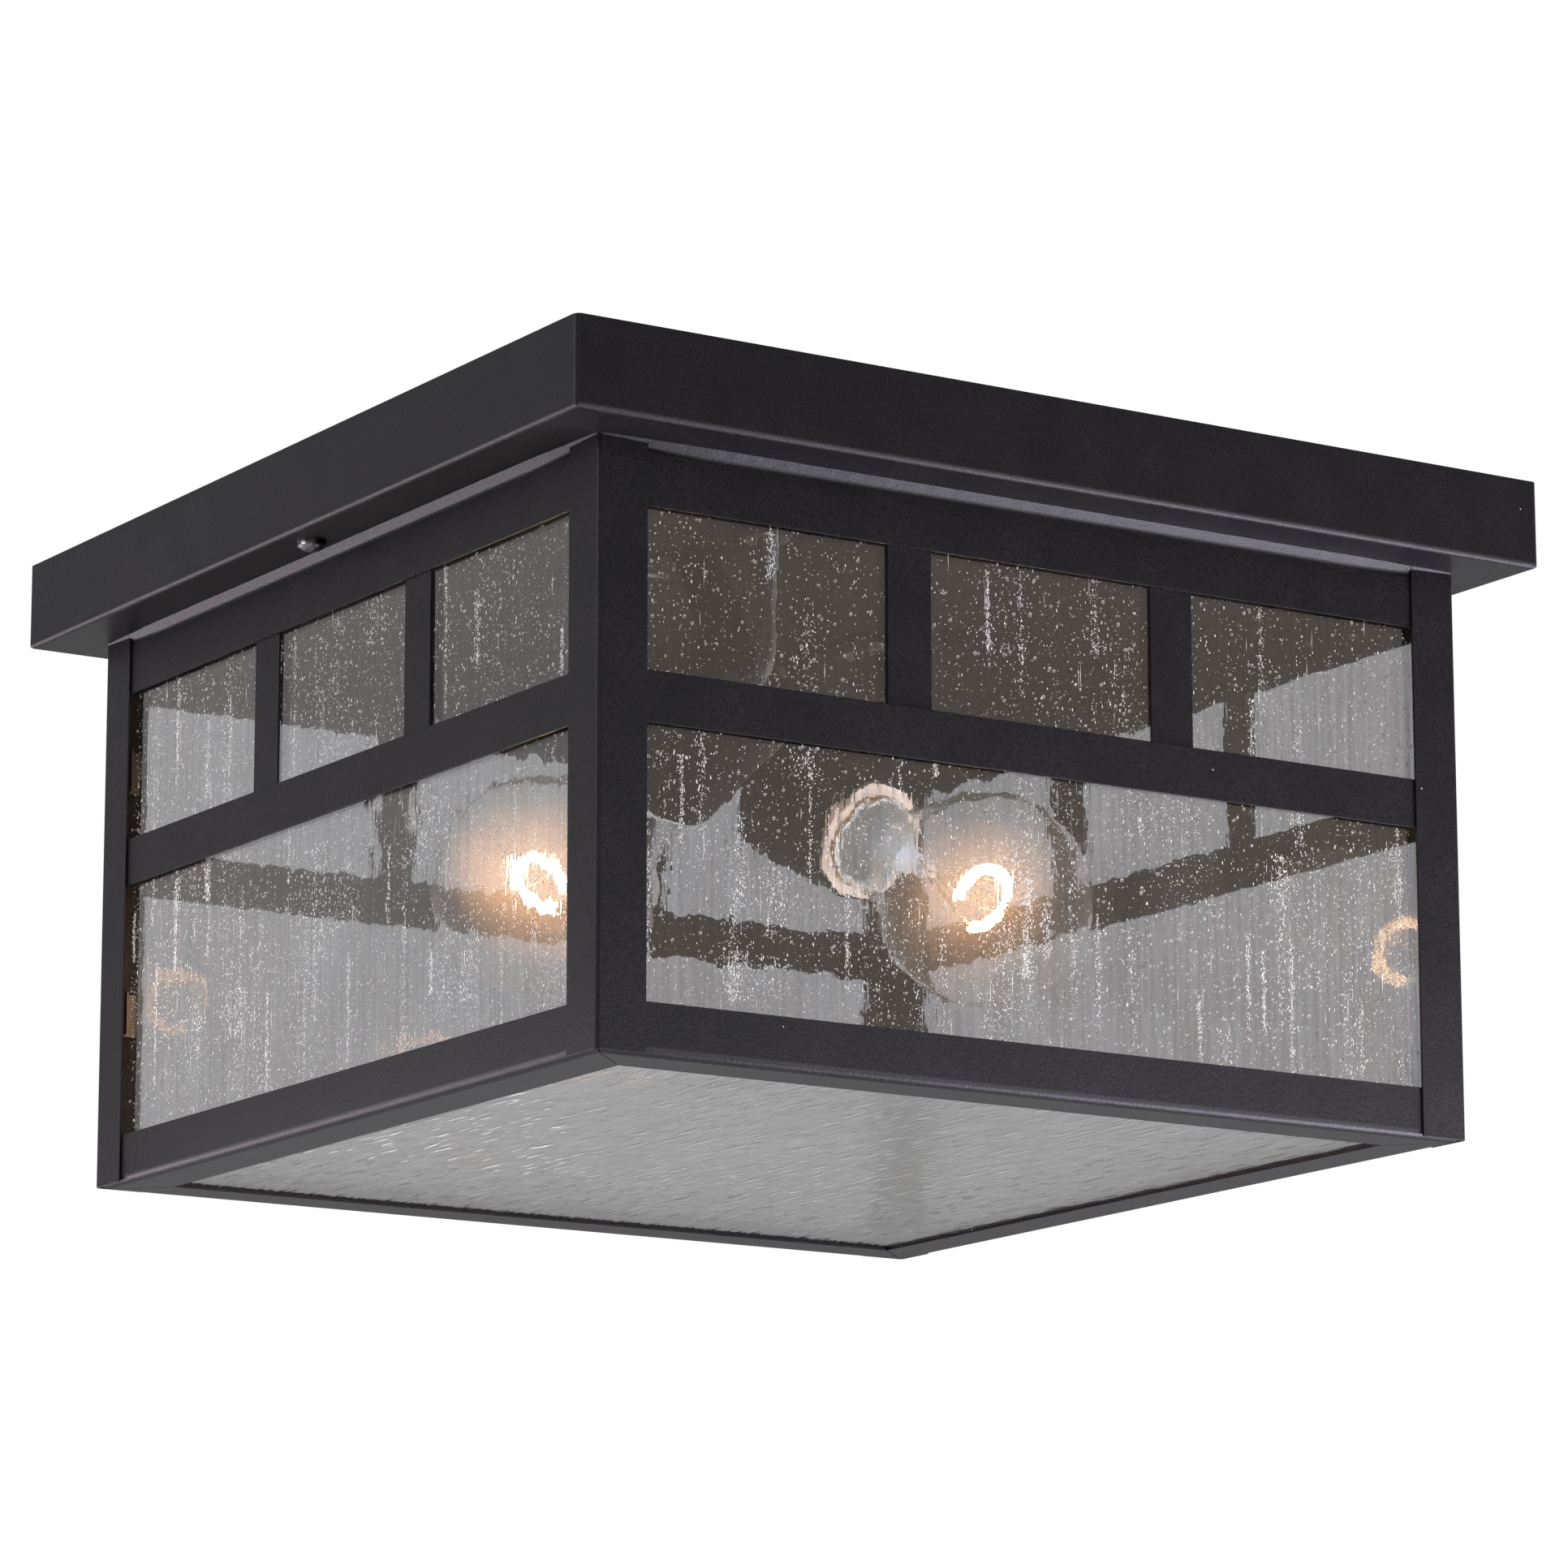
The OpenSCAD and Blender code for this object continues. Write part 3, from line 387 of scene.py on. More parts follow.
# %% [markdown]
# The coat itself is nearly black with a brown and violet cast. It is paint over steel, so it isn't
# metallic. Its gloss is low, which keeps the flat faces dark while the folds still catch the panels.

# %% Material: dark bronze coat
COAT_GLOSS_TINT = (0.94, 0.91, 1.0)
PEBBLE_SCALE, PEBBLE_DEPTH, PEBBLE_SHADE = 1300.0, 0.08 * MM, 0.6
DUST_SHARE, DUST_COLOUR = 0.02, (0.30, 0.29, 0.28)


def dark_coat(name, base, mottled, roughness, specular):
    material, tree, shader = new_material(name, base, roughness, specular=specular)
    shader.inputs["Specular Tint"].default_value = (*COAT_GLOSS_TINT, 1)
    place = place_of(tree)
    grain = use_group(tree, coat_grain, Vector=place, Pebble=PEBBLE_SCALE, Depth=PEBBLE_DEPTH)
    dust = use_group(tree, specks, Vector=place, Share=DUST_SHARE)
    colour = blend_colours(tree, grain.outputs["Mottle"], base, mottled)
    # Painted shade: the pebbles' low parts take a darker colour, as if shaded in the grain's hollows.
    shaded = [PEBBLE_SHADE * c for c in base]
    colour = blend_colours(tree, grain.outputs["Pebble_shade_mask"], shaded, colour)
    colour = blend_colours(tree, dust.outputs["Mask"], colour, DUST_COLOUR)
    tree.links.new(colour, shader.inputs["Base Color"])
    add_bump(tree, shader, grain.outputs["Height"])
    return material


bronze = dark_coat("dark_bronze", (0.0034, 0.0030, 0.0036), (0.0049, 0.0043, 0.0050), 0.42, 0.06)
plate_bronze = dark_coat("plate_bronze", (0.0060, 0.0055, 0.0058), (0.009, 0.008, 0.008), 0.8, 0.02)
print("materials:", bronze.name, plate_bronze.name)

# %% [markdown]
# Seeded glass is rolled sheet glass with air bubbles left in it on purpose. Rolling pulls the skin
# into fine upright streaks. They could be modelled in the sheet's surface, but a height is enough:
# slow waves, a finer unevenness, and rare hairlines along the rolling direction. Light bends at the
# height's slopes as in real glass. The group also gives soft lines that make the body a little
# darker. The bubbles stand out too clearly to be a mere pattern, and are modelled in a later cell.

# %% Effect: waves and streaks in rolled glass
WAVE_SCALE, WAVE_DEPTH = 90.0, 0.07 * MM
UNEVEN_SCALE, UNEVEN_DEPTH = 330.0, 0.009 * MM
STREAK_PULL, STREAK_DEPTH, HAIR_DEPTH = 0.10, 0.004 * MM, 0.006 * MM
LINE_SCALE, LINE_PULL = 750.0, 0.03


def sheet_noise(tree, ends, scale, detail, pull=1.0):
    """A noise on the sheet's plane. A pull below 1 draws it out along the rolling direction."""
    along = maths(tree, "MULTIPLY", ends.outputs["Along"], pull)
    place = add_node(tree, "ShaderNodeCombineXYZ", X=ends.outputs["Across"], Y=along)
    return noise(tree, place.outputs[0], scale, detail, "2D")


def make_seeded_sheet():
    group, start, end = new_group(
        "seeded_sheet", ("Across", "Along", "Streaks", "Fineness"), ("Height", "Lines")
    )
    waves = sheet_noise(group, start, WAVE_SCALE, 1.0)
    uneven = sheet_noise(group, start, UNEVEN_SCALE, 1.0)
    fine = sheet_noise(group, start, start.outputs["Fineness"], 1.0, STREAK_PULL)
    lines = sheet_noise(group, start, LINE_SCALE, 2.0, LINE_PULL)
    streaks = maths(group, "MULTIPLY", fine, STREAK_DEPTH)
    streaks = maths(group, "MULTIPLY_ADD", ramp(group, fine, 0.66, 0.86), HAIR_DEPTH, streaks)
    streaks = maths(group, "MULTIPLY", streaks, start.outputs["Streaks"])
    height = maths(group, "MULTIPLY_ADD", waves, WAVE_DEPTH, streaks)
    height = maths(group, "MULTIPLY_ADD", uneven, UNEVEN_DEPTH, height)
    group.links.new(ramp(group, lines, 0.36, 0.62), end.inputs["Lines"])
    group.links.new(height, end.inputs["Height"])
    return group


seeded_sheet = make_seeded_sheet()
print("group:", seeded_sheet.name, len(seeded_sheet.nodes), "nodes")

# %% [markdown]
# The panes are clear glass with a faint grey body. Light from lamps can't be traced through bent
# glass cheaply, so a Mix Shader lets shadow rays pass straight through: the inside is then lit as in
# the real lantern. What the camera sees still goes through the real glass shader. Real rolled glass
# also scatters a little. A veil, a very small share of light spread to all sides, greys the dark
# places behind a pane, and a bloom, a small share of rough refraction, puts a soft halo round each lit
# filament. The bloom sits on a pane's far face only, or the halo would stand beside its lamp.

# %% Glass that lamps shine through
GLASS_IOR = 1.5
VEIL_COLOUR = (0.76, 0.90, 1.0)
HALO_COLOUR, HALO_ROUGHNESS = (1.0, 0.76, 0.62), 0.30


def let_lamps_through(tree, shader, film_colour, veil, bloom=0.0):
    """Shadow rays pass the glass as a tinted film. The veil is the share of light that it scatters
    to all sides, and the bloom the share that it scatters a few degrees, as a halo round a lamp."""
    rays = tree.nodes.new("ShaderNodeLightPath").outputs
    film = add_node(tree, "ShaderNodeBsdfTransparent", Color=(*film_colour, 1))
    haze = add_node(tree, "ShaderNodeBsdfTranslucent", Color=(*VEIL_COLOUR, 1))
    body = mix_shaders(tree, veil, shader, haze)
    if bloom:
        halo = add_node(tree, "ShaderNodeBsdfRefraction", IOR=GLASS_IOR, Roughness=HALO_ROUGHNESS)
        halo.inputs["Color"].default_value = (*HALO_COLOUR, 1)
        far_face = tree.nodes.new("ShaderNodeNewGeometry").outputs["Backfacing"]
        body = mix_shaders(tree, maths(tree, "MULTIPLY", far_face, bloom), body, halo)
    show(tree, mix_shaders(tree, rays["Is Shadow Ray"], body, film))


print("halo roughness:", HALO_ROUGHNESS)

# %% [markdown]
# The side panes and the bottom pane are the same kind of glass, but the bottom one is seen at a flat
# angle, where its streaks show more, so they are deeper there. Its rim rests on the rails' folded
# lips, and from below the dark inner faces of the rails show in it as an olive black line. That line
# is a painted reflection: a mask on the pane's upper face paints it, a little uneven like the glass.

# %% Material: seeded glass
PANE_BODY = (0.546, 0.559, 0.581)
PANE_DEEP = (0.522, 0.535, 0.556)
PANE_LINE = (0.425, 0.428, 0.437)
PANE_FILM = (0.72, 0.73, 0.75)
PANE_VEIL, PANE_BLOOM = 0.006, 0.04
PANE_TONE_SCALE = 25.0
SIDE_MIRROR_TINT = (0.50, 0.42, 0.36)
BOTTOM_MIRROR_TINT = (0.12, 0.12, 0.12)
BOTTOM_LIP = 15.5 * MM
# The rim colour and its mask paint a reflection of the rails' dark inner faces into the bottom pane.
PAINTED_RIM_REFLECTION = (0.10, 0.098, 0.062)
PAINTED_RIM_WIDTH, PAINTED_RIM_SOFT, PAINTED_RIM_RAGGED = 4.5 * MM, 1.5 * MM, 1.2 * MM


def paint_rim_reflection(tree, axes, lines):
    """1 along the edges of the bottom pane's upper face, where the rails' dark inner faces are painted
    in as a reflection.
    """
    low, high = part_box("bottom_pane")
    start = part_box("bottom_rail_front")[1][0] - BOTTOM_LIP - PAINTED_RIM_WIDTH
    out_x, out_y = (maths(tree, "ABSOLUTE", axes.outputs[axis]) for axis in "XY")
    far_out = maths(tree, "MAXIMUM", out_x, out_y)
    far_out = maths(tree, "MULTIPLY_ADD", lines, PAINTED_RIM_RAGGED, far_out)
    painted_rim = ramp(tree, far_out, start, start + PAINTED_RIM_SOFT)
    upper_face = maths(tree, "GREATER_THAN", axes.outputs["Z"], (low[2] + high[2]) / 2)
    return maths(tree, "MULTIPLY", painted_rim, upper_face)


def seeded_glass(name, upright, mirror_tint, streaks, fineness):
    material, tree, shader = new_material(name, PANE_BODY, 0.0)
    shader.inputs["IOR"].default_value = GLASS_IOR
    shader.inputs["Specular Tint"].default_value = (*mirror_tint, 1)
    shader.inputs["Transmission Weight"].default_value = 1.0
    axes = add_node(tree, "ShaderNodeSeparateXYZ", Vector=place_of(tree))
    across, along = axes.outputs["X"], axes.outputs["Y"]
    if upright:
        across, along = maths(tree, "ADD", across, along), axes.outputs["Z"]
    sheet = use_group(
        tree, seeded_sheet, Across=across, Along=along, Streaks=streaks, Fineness=fineness
    )
    tone = ramp(tree, noise(tree, place_of(tree), PANE_TONE_SCALE, 2.0), 0.3, 0.7)
    colour = blend_colours(tree, tone, PANE_BODY, PANE_DEEP)
    colour = blend_colours(tree, sheet.outputs["Lines"], PANE_LINE, colour)
    if not upright:
        # Painted reflection: the rails' dark inner faces, seen from below through the pane, are painted
        # along its rim.
        painted_rim = paint_rim_reflection(tree, axes, sheet.outputs["Lines"])
        colour = blend_colours(tree, painted_rim, colour, PAINTED_RIM_REFLECTION)
    tree.links.new(colour, shader.inputs["Base Color"])
    add_bump(tree, shader, sheet.outputs["Height"])
    let_lamps_through(tree, shader, PANE_FILM, PANE_VEIL, PANE_BLOOM)
    return material


side_glass = seeded_glass("seeded_glass_upright", True, SIDE_MIRROR_TINT, 1.0, 900.0)
floor_glass = seeded_glass("seeded_glass_flat", False, BOTTOM_MIRROR_TINT, 20.0, 650.0)
print("materials:", side_glass.name, floor_glass.name)

# %% [markdown]
# The other metals are plain ones: zinc plate on the hidden hardware, black nickel on the two screws
# that show, brass in the sockets. Rolled or plated metal has faint streaks from the rolls, which a
# noise stretched along one axis gives, and it drives both the colour and the roughness.

# %% Materials: bare and plated metals
ROLL_STRETCH = (1.0, 12.0, 12.0)
ROLL_SCALE, ROLL_DEPTH = 160.0, 0.008 * MM
SPOT_SCALE = 90.0


def streaked_metal(name, base, dark, rough_low, rough_high):
    material, tree, shader = new_material(name, base, rough_high, metallic=1.0)
    place = place_of(tree)
    pulled = add_node(tree, "ShaderNodeMapping", Vector=place, Scale=ROLL_STRETCH)
    lines = noise(tree, pulled.outputs["Vector"], ROLL_SCALE, 4.0)
    spots = ramp(tree, noise(tree, place, SPOT_SCALE, 2.0), 0.2, 0.8)
    mask = maths(tree, "MULTIPLY", ramp(tree, lines, 0.35, 0.65), spots)
    tree.links.new(blend_colours(tree, mask, base, dark), shader.inputs["Base Color"])
    rough = maths(tree, "MULTIPLY_ADD", mask, rough_high - rough_low, rough_low)
    tree.links.new(rough, shader.inputs["Roughness"])
    add_bump(tree, shader, maths(tree, "MULTIPLY", lines, ROLL_DEPTH))
    return material


zinc = streaked_metal("zinc_steel", (0.60, 0.61, 0.63), (0.42, 0.43, 0.45), 0.28, 0.45)
clip_steel = streaked_metal("clip_steel", (0.07, 0.066, 0.064), (0.04, 0.038, 0.038), 0.45, 0.6)
black_nickel = streaked_metal("black_nickel", (0.11, 0.105, 0.11), (0.05, 0.048, 0.05), 0.22, 0.4)
brass = streaked_metal("brass", (0.78, 0.55, 0.24), (0.55, 0.36, 0.14), 0.25, 0.45)
nickel_brass = streaked_metal("nickel_brass", (0.72, 0.69, 0.62), (0.5, 0.48, 0.43), 0.2, 0.4)
green_steel = streaked_metal("green_steel", (0.07, 0.30, 0.10), (0.03, 0.15, 0.05), 0.3, 0.45)
print("metals: 6")

# %% [markdown]
# Wire sleeves, the rubber grommets, the wire nuts and the porcelain are smooth moulded or glazed
# skins. Each gets a slow change of tone and a small waviness, because even a new moulding is never
# perfectly even. Porcelain also has dark iron specks in its glaze.

# %% Materials: sleeves, rubber, plastic and porcelain
SKIN_TONE_SCALE = 70.0
SKIN_GRAIN_SCALE, SKIN_DEPTH = 500.0, 0.01 * MM
IRON_SCALE, IRON_RADIUS, IRON_SHARE = 300.0, 0.06, 0.08
IRON_COLOUR = (0.25, 0.2, 0.15)


def moulded(
    name, base, shade, roughness,
    grain=SKIN_GRAIN_SCALE, depth=SKIN_DEPTH, coat=0.0, iron=False,
):
    material, tree, shader = new_material(name, base, roughness)
    place = place_of(tree)
    slow = ramp(tree, noise(tree, place, SKIN_TONE_SCALE, 3.0), 0.3, 0.7)
    colour = blend_colours(tree, slow, base, shade)
    if iron:
        dots = cell_dots(tree, place, IRON_SCALE, IRON_RADIUS, IRON_SHARE)
        colour = blend_colours(tree, dots, colour, IRON_COLOUR)
    tree.links.new(colour, shader.inputs["Base Color"])
    shader.inputs["Coat Weight"].default_value = coat
    add_bump(tree, shader, maths(tree, "MULTIPLY", noise(tree, place, grain, 2.0), depth))
    return material


black_sleeve = moulded("black_sleeve", (0.012, 0.012, 0.013), (0.02, 0.02, 0.02), 0.38)
# The white sleeve's colour is a dim grey, far darker than white: painted shade.
white_sleeve = moulded("white_sleeve", (0.28, 0.275, 0.26), (0.22, 0.215, 0.20), 0.4)
green_sleeve = moulded("green_sleeve", (0.04, 0.24, 0.08), (0.03, 0.17, 0.05), 0.4)
rubber = moulded("rubber", (0.014, 0.014, 0.014), (0.024, 0.023, 0.022), 0.7, 900.0, 0.03 * MM)
nut_plastic = moulded("orange_plastic", (0.74, 0.24, 0.04), (0.62, 0.18, 0.03), 0.45)
# The porcelain's colour is a warm tan, darker than white glaze: its warmth is partly painted bulb
# light.
porcelain = moulded(
    "porcelain", (0.70, 0.62, 0.53), (0.62, 0.53, 0.44), 0.28, grain=200.0, coat=0.5, iron=True
)
insulator = moulded(
    "black_insulator", (0.015, 0.014, 0.02), (0.03, 0.028, 0.04), 0.2, grain=300.0, coat=0.3
)
print("mouldings: 7")

# %% [markdown]
# The bulbs are clear and lit. Their glass is a real closed shell, so its edges show dark outlines by
# themselves. So thin a wall hardly bends the view, which a low index of refraction gives. The
# filament is tungsten that glows far brighter than white, and turns more orange where it is cooler,
# which a noise along it gives.

# %% Materials: bulb glass, stem and filament
BULB_IOR = 1.07
BULB_FILM = (0.95, 0.95, 0.95)
BULB_WAVE_SCALE = 120.0
FILAMENT_GLOW = 700.0
GLOW_COOL, GLOW_HOT, GLOW_SCALE = (1.0, 0.62, 0.30), (1.0, 0.72, 0.42), 400.0


def clear_glass(name, base, waviness, veil):
    material, tree, shader = new_material(name, base, 0.0)
    shader.inputs["IOR"].default_value = BULB_IOR
    shader.inputs["Transmission Weight"].default_value = 1.0
    waves = noise(tree, place_of(tree), BULB_WAVE_SCALE, 2.0)
    tint = blend_colours(tree, ramp(tree, waves, 0.3, 0.7), base, [0.97 * c for c in base])
    tree.links.new(tint, shader.inputs["Base Color"])
    add_bump(tree, shader, maths(tree, "MULTIPLY", waves, waviness))
    let_lamps_through(tree, shader, BULB_FILM, veil)
    return material


def glowing_wire():
    material, tree, shader = new_material("tungsten", (0.5, 0.45, 0.4), 0.5, metallic=1.0)
    heat = ramp(tree, noise(tree, place_of(tree), GLOW_SCALE, 1.0), 0.3, 0.7)
    glow = blend_colours(tree, heat, GLOW_COOL, GLOW_HOT)
    tree.links.new(glow, shader.inputs["Emission Color"])
    shader.inputs["Emission Strength"].default_value = FILAMENT_GLOW
    return material


bulb_glass = clear_glass("bulb_glass", (0.97, 0.975, 0.98), 0.04 * MM, 0.006)
stem_glass = clear_glass("stem_glass", (0.92, 0.94, 0.95), 0.1 * MM, 0.35)
tungsten = glowing_wire()
print("glow:", FILAMENT_GLOW)

# %% [markdown]
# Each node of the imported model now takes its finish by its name. The finish is put on the node's own
# material slots, so the shape stays as it was made.

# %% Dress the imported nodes
SHEET_METAL = ("ceiling_pan", "post_", "top_rail_", "mid_rail_", "bottom_rail_", "mullions_")
FINISHES = [
    (bronze, SHEET_METAL + ("cap_nuts", "lamp_bracket_", "socket_cup_")),
    (plate_bronze, ("mounting_plate",)),
    (zinc, ("crossbar", "jam_nuts", "clinch_nuts", "small_screws")),
    (clip_steel, ("glass_clips",)),
    (black_nickel, ("body_screw_",)),
    (brass, ("screw_shells", "socket_contacts")),
    (nickel_brass, ("bulb_base_",)),
    (green_steel, ("earth_screws",)),
    (black_sleeve, ("black_leads",)),
    (white_sleeve, ("white_leads",)),
    (green_sleeve, ("earth_wire",)),
    (rubber, ("lead_grommets",)),
    (nut_plastic, ("wire_nuts",)),
    (porcelain, ("socket_right", "socket_left")),
    (insulator, ("bulb_tip_",)),
    (bulb_glass, ("bulb_glass_",)),
    (stem_glass, ("bulb_stem_",)),
    (tungsten, ("filament_",)),
    (side_glass, ("pane_",)),
    (floor_glass, ("bottom_pane",)),
]


def dress(obj, material):
    for slot in obj.material_slots:
        slot.material = material
    if not obj.material_slots:
        obj.data.materials.append(material)


for name, obj in nodes.items():
    dress(obj, next(finish for finish, starts in FINISHES if name.startswith(starts)))
print("dressed", len(nodes), "nodes")

# %% [markdown]
# Every new piece is a mesh that rides on the body of the node it stands for. One helper makes the
# object and puts its finish on, and one hangs it on its body's empty and hides the nodes it replaces.
# The four sides of the lantern are alike, so a side's pieces are drawn once, for the front, and turned.

# %% Helpers for new pieces
BODY_OF = {node: body for body, row in frame["record"]["behaviour"]["bodies"].items() for node in row}
SIDES = ("front", "right", "back", "left")


def mesh_piece(name, verts, faces, material):
    """Verts are in metres, in the frame that the whole light shares."""
    mesh = bpy.data.meshes.new(name)
    mesh.from_pydata(verts, [], faces)
    mesh.validate()
    mesh.materials.append(material)
    mesh.shade_smooth()
    piece = bpy.data.objects.new(name, mesh)
    scene.collection.objects.link(piece)
    return piece


def belongs(piece, body, slot, *replaced):
    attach(piece, body)
    if replaced:
        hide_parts(*replaced)


def turned(point, quarter):
    """A point drawn for the front side, moved to one of the four sides."""
    x, y, z = point
    for _ in range(quarter):
        x, y = -y, x
    return x, y, z


print("bodies:", sorted(set(BODY_OF.values())))

# %% [markdown]
# The larger seeds are real bubbles, up to about a millimetre across, and the eye sees each one. A
# real bubble mirrors the bright room on one side and the dark lantern on the other. Here that is
# painted into its colour: a painted highlight on the side that faces one fixed direction, painted
# shade on the far side, and a painted reflection that makes the rim differ from the middle by the
# angle it is seen at. The middle of a large one is nearly clear. A faint painted glow, though a bubble
# is no lamp, stands for the light that bounces about inside it.

# %% Material: bubbles, with painted highlight, shade and glow
PAINTED_LIGHT_FROM = (-0.55, -0.15, 0.82)
PAINTED_GLOW_COLOUR = (1.0, 0.96, 0.9)
CLEAREST = 0.15


def bubble_material(name, middle, painted_shade_colour, painted_glow, hollow):
    material, tree, shader = new_material(name, (0.8, 0.8, 0.8), 0.25)
    normal = tree.nodes.new("ShaderNodeNewGeometry").outputs["Normal"]
    dot = {"operation": "DOT_PRODUCT"}
    facing = add_node(tree, "ShaderNodeVectorMath", dot, i0=normal, i1=PAINTED_LIGHT_FROM)
    # Painted highlight and painted shade: white on the side that faces a fixed direction, dark on the
    # far side.
    painted_light = ramp(tree, facing.outputs["Value"], -0.35, 0.35)
    # Painted reflection: the rim and the middle differ by the angle they are seen at.
    painted_rim_facing = add_node(tree, "ShaderNodeLayerWeight", Blend=0.5).outputs["Facing"]
    painted_light_and_shade = blend_colours(tree, painted_light, painted_shade_colour, (1.0, 1.0, 1.0))
    colour = blend_colours(tree, ramp(tree, painted_rim_facing, 0.15, 0.5), middle, painted_light_and_shade)
    tree.links.new(colour, shader.inputs["Base Color"])
    if hollow:
        painted_rim = ramp(tree, painted_rim_facing, 0.10, 0.40)
        seen = maths(tree, "MULTIPLY_ADD", painted_rim, 1 - CLEAREST, CLEAREST)
        tree.links.new(seen, shader.inputs["Alpha"])
    # A painted glow: the bubble gives off light, though it is no lamp.
    shader.inputs["Emission Color"].default_value = (*PAINTED_GLOW_COLOUR, 1)
    shader.inputs["Emission Strength"].default_value = painted_glow
    return material


bubble = bubble_material("bubble", (0.30, 0.30, 0.31), (0.04, 0.04, 0.04), 0.03, True)
fine_bubble = bubble_material("fine_bubble", (0.9, 0.9, 0.9), (0.3, 0.3, 0.3), 0.22, False)
print("materials:", bubble.name, fine_bubble.name)

# %% [markdown]
# Each bubble is a small bead inside the sheet. A fine ball for each would be far too heavy for
# thousands of them, and at this size twenty faces look round, or eight for the smallest.

# %% The shape of a bead
GOLDEN = (1 + math.sqrt(5)) / 2
UNIT = 1 / math.hypot(1, GOLDEN)
EIGHT_VERTS = [(1, 0, 0), (-1, 0, 0), (0, 1, 0), (0, -1, 0), (0, 0, 1), (0, 0, -1)]
EIGHT_FACES = [(0, 2, 4), (2, 1, 4), (1, 3, 4), (3, 0, 4), (2, 0, 5), (1, 2, 5), (3, 1, 5), (0, 3, 5)]
TWENTY_VERTS = [
    tuple(c * UNIT for c in v)
    for a in (-1, 1) for b in (-GOLDEN, GOLDEN)
    for v in ((0, a, b), (a, b, 0), (b, 0, a))
]


def hull_faces(points):
    """The faces of the closed shape over a few points on a sphere."""
    build = bmesh.new()
    for point in points:
        build.verts.new(point)
    bmesh.ops.convex_hull(build, input=build.verts)
    build.verts.index_update()
    faces = [tuple(v.index for v in face.verts) for face in build.faces]
    build.free()
    return faces


TINY_BEAD = EIGHT_VERTS, EIGHT_FACES
ROUND_BEAD = TWENTY_VERTS, hull_faces(TWENTY_VERTS)


def add_bead(verts, faces, bead, centre, size):
    points, sides = bead
    first = len(verts)
    verts.extend(tuple(c + s * v for c, s, v in zip(centre, size, point)) for point in points)
    faces.extend(tuple(first + i for i in face) for face in sides)


print("bead faces:", len(TINY_BEAD[1]), len(ROUND_BEAD[1]))

# %% [markdown]
# The beads are needed only where glass shows, so the openings between posts, rails and mullions are
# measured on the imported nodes. The two mullions of a side are one node, so their place is given.

# %% The openings of one side
MULLION_X = 41.5 * MM
MULLION_W = 13.5 * MM


def window_spans():
    """The openings of one side as (low x, high x, low z, high z), in metres."""
    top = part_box("top_rail_front")[0][2]
    mid_low, mid_high = (corner[2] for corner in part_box("mid_rail_front"))
    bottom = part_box("bottom_rail_front")[1][2]
    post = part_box("post_front_right")[0][0]
    mullion = MULLION_X + MULLION_W / 2, MULLION_X - MULLION_W / 2
    upper = [(-post, -mullion[0]), (-mullion[1], mullion[1]), (mullion[0], post)]
    return [(a, b, mid_high, top) for a, b in upper] + [(-post, post, bottom, mid_low)]


windows = window_spans()
print("windows (mm):", [[round(v / MM, 1) for v in w] for w in windows])

# %% [markdown]
# The seeds crowd together in upright bands where the rollers pulled them, the rest lie alone, and a
# few are drawn out to hairlines. Their places are random numbers from a fixed start, so the glass is
# the same on every run.

# %% Where the bubbles lie
SEE_BEHIND = 2.0 * MM
BANDS = 60
BAND_LENGTHS = 12, 60
BAND_WIDTHS = 0.35, 0.8, 2.0, 4.5


def make_bands(rng, spans):
    """Upright bands as (middle across, width, low, high)."""
    low, high = min(s[2] for s in spans), max(s[3] for s in spans)
    left, right = min(s[0] for s in spans), max(s[1] for s in spans)
    bands = []
    for _ in range(BANDS):
        middle = rng.uniform(low, high)
        half = rng.uniform(*BAND_LENGTHS) * MM / 2
        across, width = rng.uniform(left, right), rng.choice(BAND_WIDTHS) * MM
        bands.append((across, width, middle - half, middle + half))
    return bands


def bubble_cloud(rng, spans, count, band_share, bands):
    """Places (across, along) inside the openings: some alone, the others crowded in bands."""
    areas = [(b - a) * (d - c) for a, b, c, d in spans]
    places = []
    while len(places) < count:
        if rng.random() < band_share:
            middle, width, low, high = rng.choice(bands)
            across, along = rng.gauss(middle, width), rng.uniform(low, high)
        else:
            a, b, c, d = rng.choices(spans, areas)[0]
            across, along = rng.uniform(a, b), rng.uniform(c, d)
        if any(a - SEE_BEHIND < across < b + SEE_BEHIND and c < along < d for a, b, c, d in spans):
            places.append((across, along))
    return places


print("bands on a side:", BANDS)

# %% [markdown]
# There are three kinds of seed: round ones that the eye picks out, a dust of fine ones, some a little
# stretched, and the hairlines. All of one side's beads of one finish are one mesh.

# %% Bubbles in the glass
PANE_HALF = 1.5 * MM
FIRST_SEED = 40


def round_seed(rng):
    """Half the size of a bubble across, through and along the pane."""
    r = (0.20 + 0.36 * rng.random() ** 2.5) * MM
    return r, r, r * rng.uniform(1.0, 1.25)


def fine_seed(rng):
    r = (0.08 + 0.14 * rng.random() ** 1.6) * MM
    return r, r, r * rng.choice((1, 1, 1, 1.5, 3))


def hairline(rng):
    r = rng.uniform(0.05, 0.09) * MM
    return r, r, rng.uniform(1.0, 5.0) * MM


# Each row gives the kind, how many, the share in bands, and how far from the pane's middle, in mm.
SEEDS = (
    ("bubbles_", bubble, ROUND_BEAD, ((round_seed, 2100, 0.3, 0.5),)),
    ("fine_bubbles_", fine_bubble, TINY_BEAD,
     ((fine_seed, 13500, 0.65, 0.8), (hairline, 110, 0.7, 0.9))),
)


